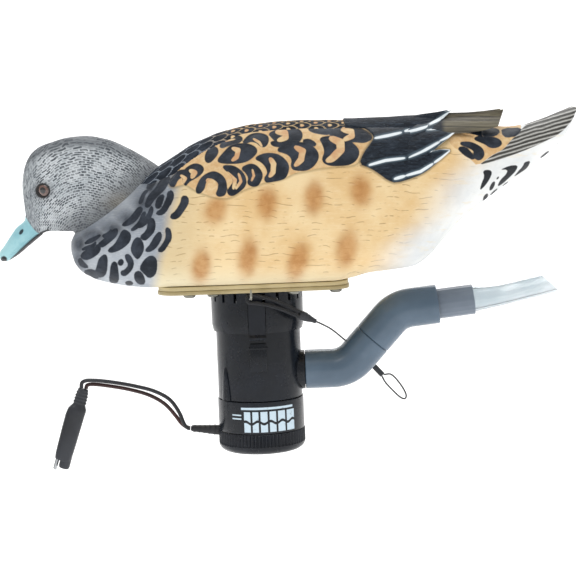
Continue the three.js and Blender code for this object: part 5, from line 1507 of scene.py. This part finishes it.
# plug
rows = []
for t, he, hy, e0 in ((0, 3.0, 2.0, 0), (.5, 3.5, 2.5, 0), (2.5, 3.8, 2.7, 0), (5, 4.1, 2.9, 0), (8, 4.2, 3.0, 0), (11.2, 4.3, 3.2, 0), (12.2, 4.8, 3.5, -.1), (13.5, 5.6, 4, -.2), (15, 6.1, 4.25, -.5), (19, 6.3, 4.4, -.9),
                      (28, 6.2, 4.4, -1.0), (38, 6.0, 4.35, -1.05), (44, 5.85, 4.3, -1.1), (47, 5.7, 4.3, -1.1), (49, 5.45, 4.2, -1.1), (50.2, 5.1, 3.9, -1.1), (50.5, 4.6, 3.4, -1.1)):
    rows.append((t, he, hy, e0))
rows = np.array(rows)
tq = np.unique(np.concatenate([np.linspace(0, 50.5, 90), rows[:, 0]]))
PL = []
c, s = circle(72)
for t in tq:
    he, hy, e0 = [np.interp(t, rows[:, 0], rows[:, k]) for k in (1, 2, 3)]
    if 1.5 < t < 11:
        he *= 1 + .07 * math.sin(t * 2 * math.pi / 2.2)
        hy *= 1 + .07 * math.sin(t * 2 * math.pi / 2.2)
    e_ = e0 + he * spow(c, 2.9)
    y_ = hy * spow(s, 2.9)
    q = PT[None] + pd[None] * t + pe[None] * e_[:, None]
    PL.append(np.stack([q[:, 0], y_, q[:, 1]], -1))
M_PLUG = plain("plug_m", "1B1D22", "2A2D34", (.34, .5), scale=500, bump=.12)
plug_ob = loft("plug_grip", PL, angle=40)
barrel_rows = []
for t, r in ((44, 3.2), (44.4, 3.6), (46, 3.7), (53.8, 3.7), (55, 3.45), (55.5, 3.1), (55.6, 2.9), (45, 2.9)):
    c, s = circle(56)
    q = PT[None] + pd[None] * t + pe[None] * (1.0 + r * c)[:, None]
    barrel_rows.append(np.stack([q[:, 0], r * s, q[:, 1]], -1))
barrel_ob = loft("plug_barrel", barrel_rows, wrap_rows=True)
plug_fine = join_mesh("plug_body_fine", [plug_ob, barrel_ob], 40)
put(plug_fine, "motor_unit", "plug_body", M_PLUG)
M_BRASS = plain("brass_m", "C9A860", "9C7D3E", (.2, .4), metal=1.0, scale=600, bump=.06)
cad("plug_socket", M_BRASS)
M_NICKEL = plain("nickel_m", "D0D2D4", "A2A5A8", (.15, .3), metal=1.0, scale=600, bump=.05)
cad("plug_pin", M_NICKEL)

# ---------------------------------------------------- inside of the motor
cad("intake_funnel", M_BLACK2)
cad("impeller", plain("impeller_m", "DAD8CC", "B9B6A6", (.35, .5)))
cad("motor_shaft", M_NICKEL)
cad("shaft_seal", M_RUB)
cad("seal_plate", M_BLACK2)
cad("motor_can", plain("can_m", "B9BBBE", "8D9094", (.22, .4), metal=1.0, scale=500, bump=.06))
M_FER = plain("ferrite_m", "2B2B2D", "3C3C3F", (.5, .7), scale=800, bump=.2)
cad("magnet_rear", M_FER)
cad("magnet_front", M_FER)
cad("armature", plain("winding_m", "A8622C", "7C421A", (.25, .45), metal=.8, scale=900, bump=.4))
cad("commutator", plain("copper_m", "C08048", "94582C", (.2, .4), metal=1.0, scale=700, bump=.1))
cad("brush_holder", M_BLACK2)
cad("bushing_lower", M_BRASS)
cad("bushing_upper", M_BRASS)

N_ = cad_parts
# ---------------------------------------------------------------- the stage
fm = G("floor_pale")
fm.set('Base Color', (0.90, 0.90, 0.90, 1))
fm.bsdf.inputs['Roughness'].default_value = .9
fm.bsdf.inputs['Emission Color'].default_value = (1, 1, 1, 1)
fm.bsdf.inputs['Emission Strength'].default_value = .42
fm.bsdf.inputs['Specular IOR Level'].default_value = .1
back = [(-4000.0, -350.0), (1200.0, -350.0)] + [(1200 + 900 * math.sin(k), -350 + 900 * (1 - math.cos(k))) for k in np.linspace(.1, math.pi / 2, 14)] + [(2100.0, 4000.0)]
floor = build("floor", [(x, yz[0], yz[1]) for yz in back for x in (-5000, 5000)], [(2 * i, 2 * i + 1, 2 * i + 3, 2 * i + 2) for i in range(len(back) - 1)], angle=None, fix=False)
give(floor, fm.m)


def area(name, loc_, target, size, power, colour=(1, 1, 1)):
    ld_ = bpy.data.lights.new(name, 'AREA')
    ld_.shape = 'RECTANGLE'
    ld_.size, ld_.size_y = size
    ld_.energy = power
    ld_.color = colour
    ob = bpy.data.objects.new(name, ld_)
    ob.location = loc_
    ob.rotation_euler = (Vector(target) - Vector(loc_)).to_track_quat('-Z', 'Y').to_euler()
    bpy.context.scene.collection.objects.link(ob)
    return ob


area("key", (-0.5, -1.1, 2.0), (0.02, 0, 0.0), (1.2, 1.2), 17)
area("fill", (1.1, -1.3, 0.5), (0.05, 0, -0.02), (1.2, 1.0), 2.5)
area("rim", (0.3, 1.4, 1.2), (0.02, 0, 0.05), (1.4, 0.8), 7)
world = bpy.data.worlds.new("world")
bpy.context.scene.world = world
world.use_nodes = True
world.node_tree.nodes['Background'].inputs['Color'].default_value = (1, 1, 1, 1)
world.node_tree.nodes['Background'].inputs['Strength'].default_value = 0.62
bpy.context.scene.view_settings.view_transform = 'Standard'
bpy.context.scene.view_settings.look = 'None'
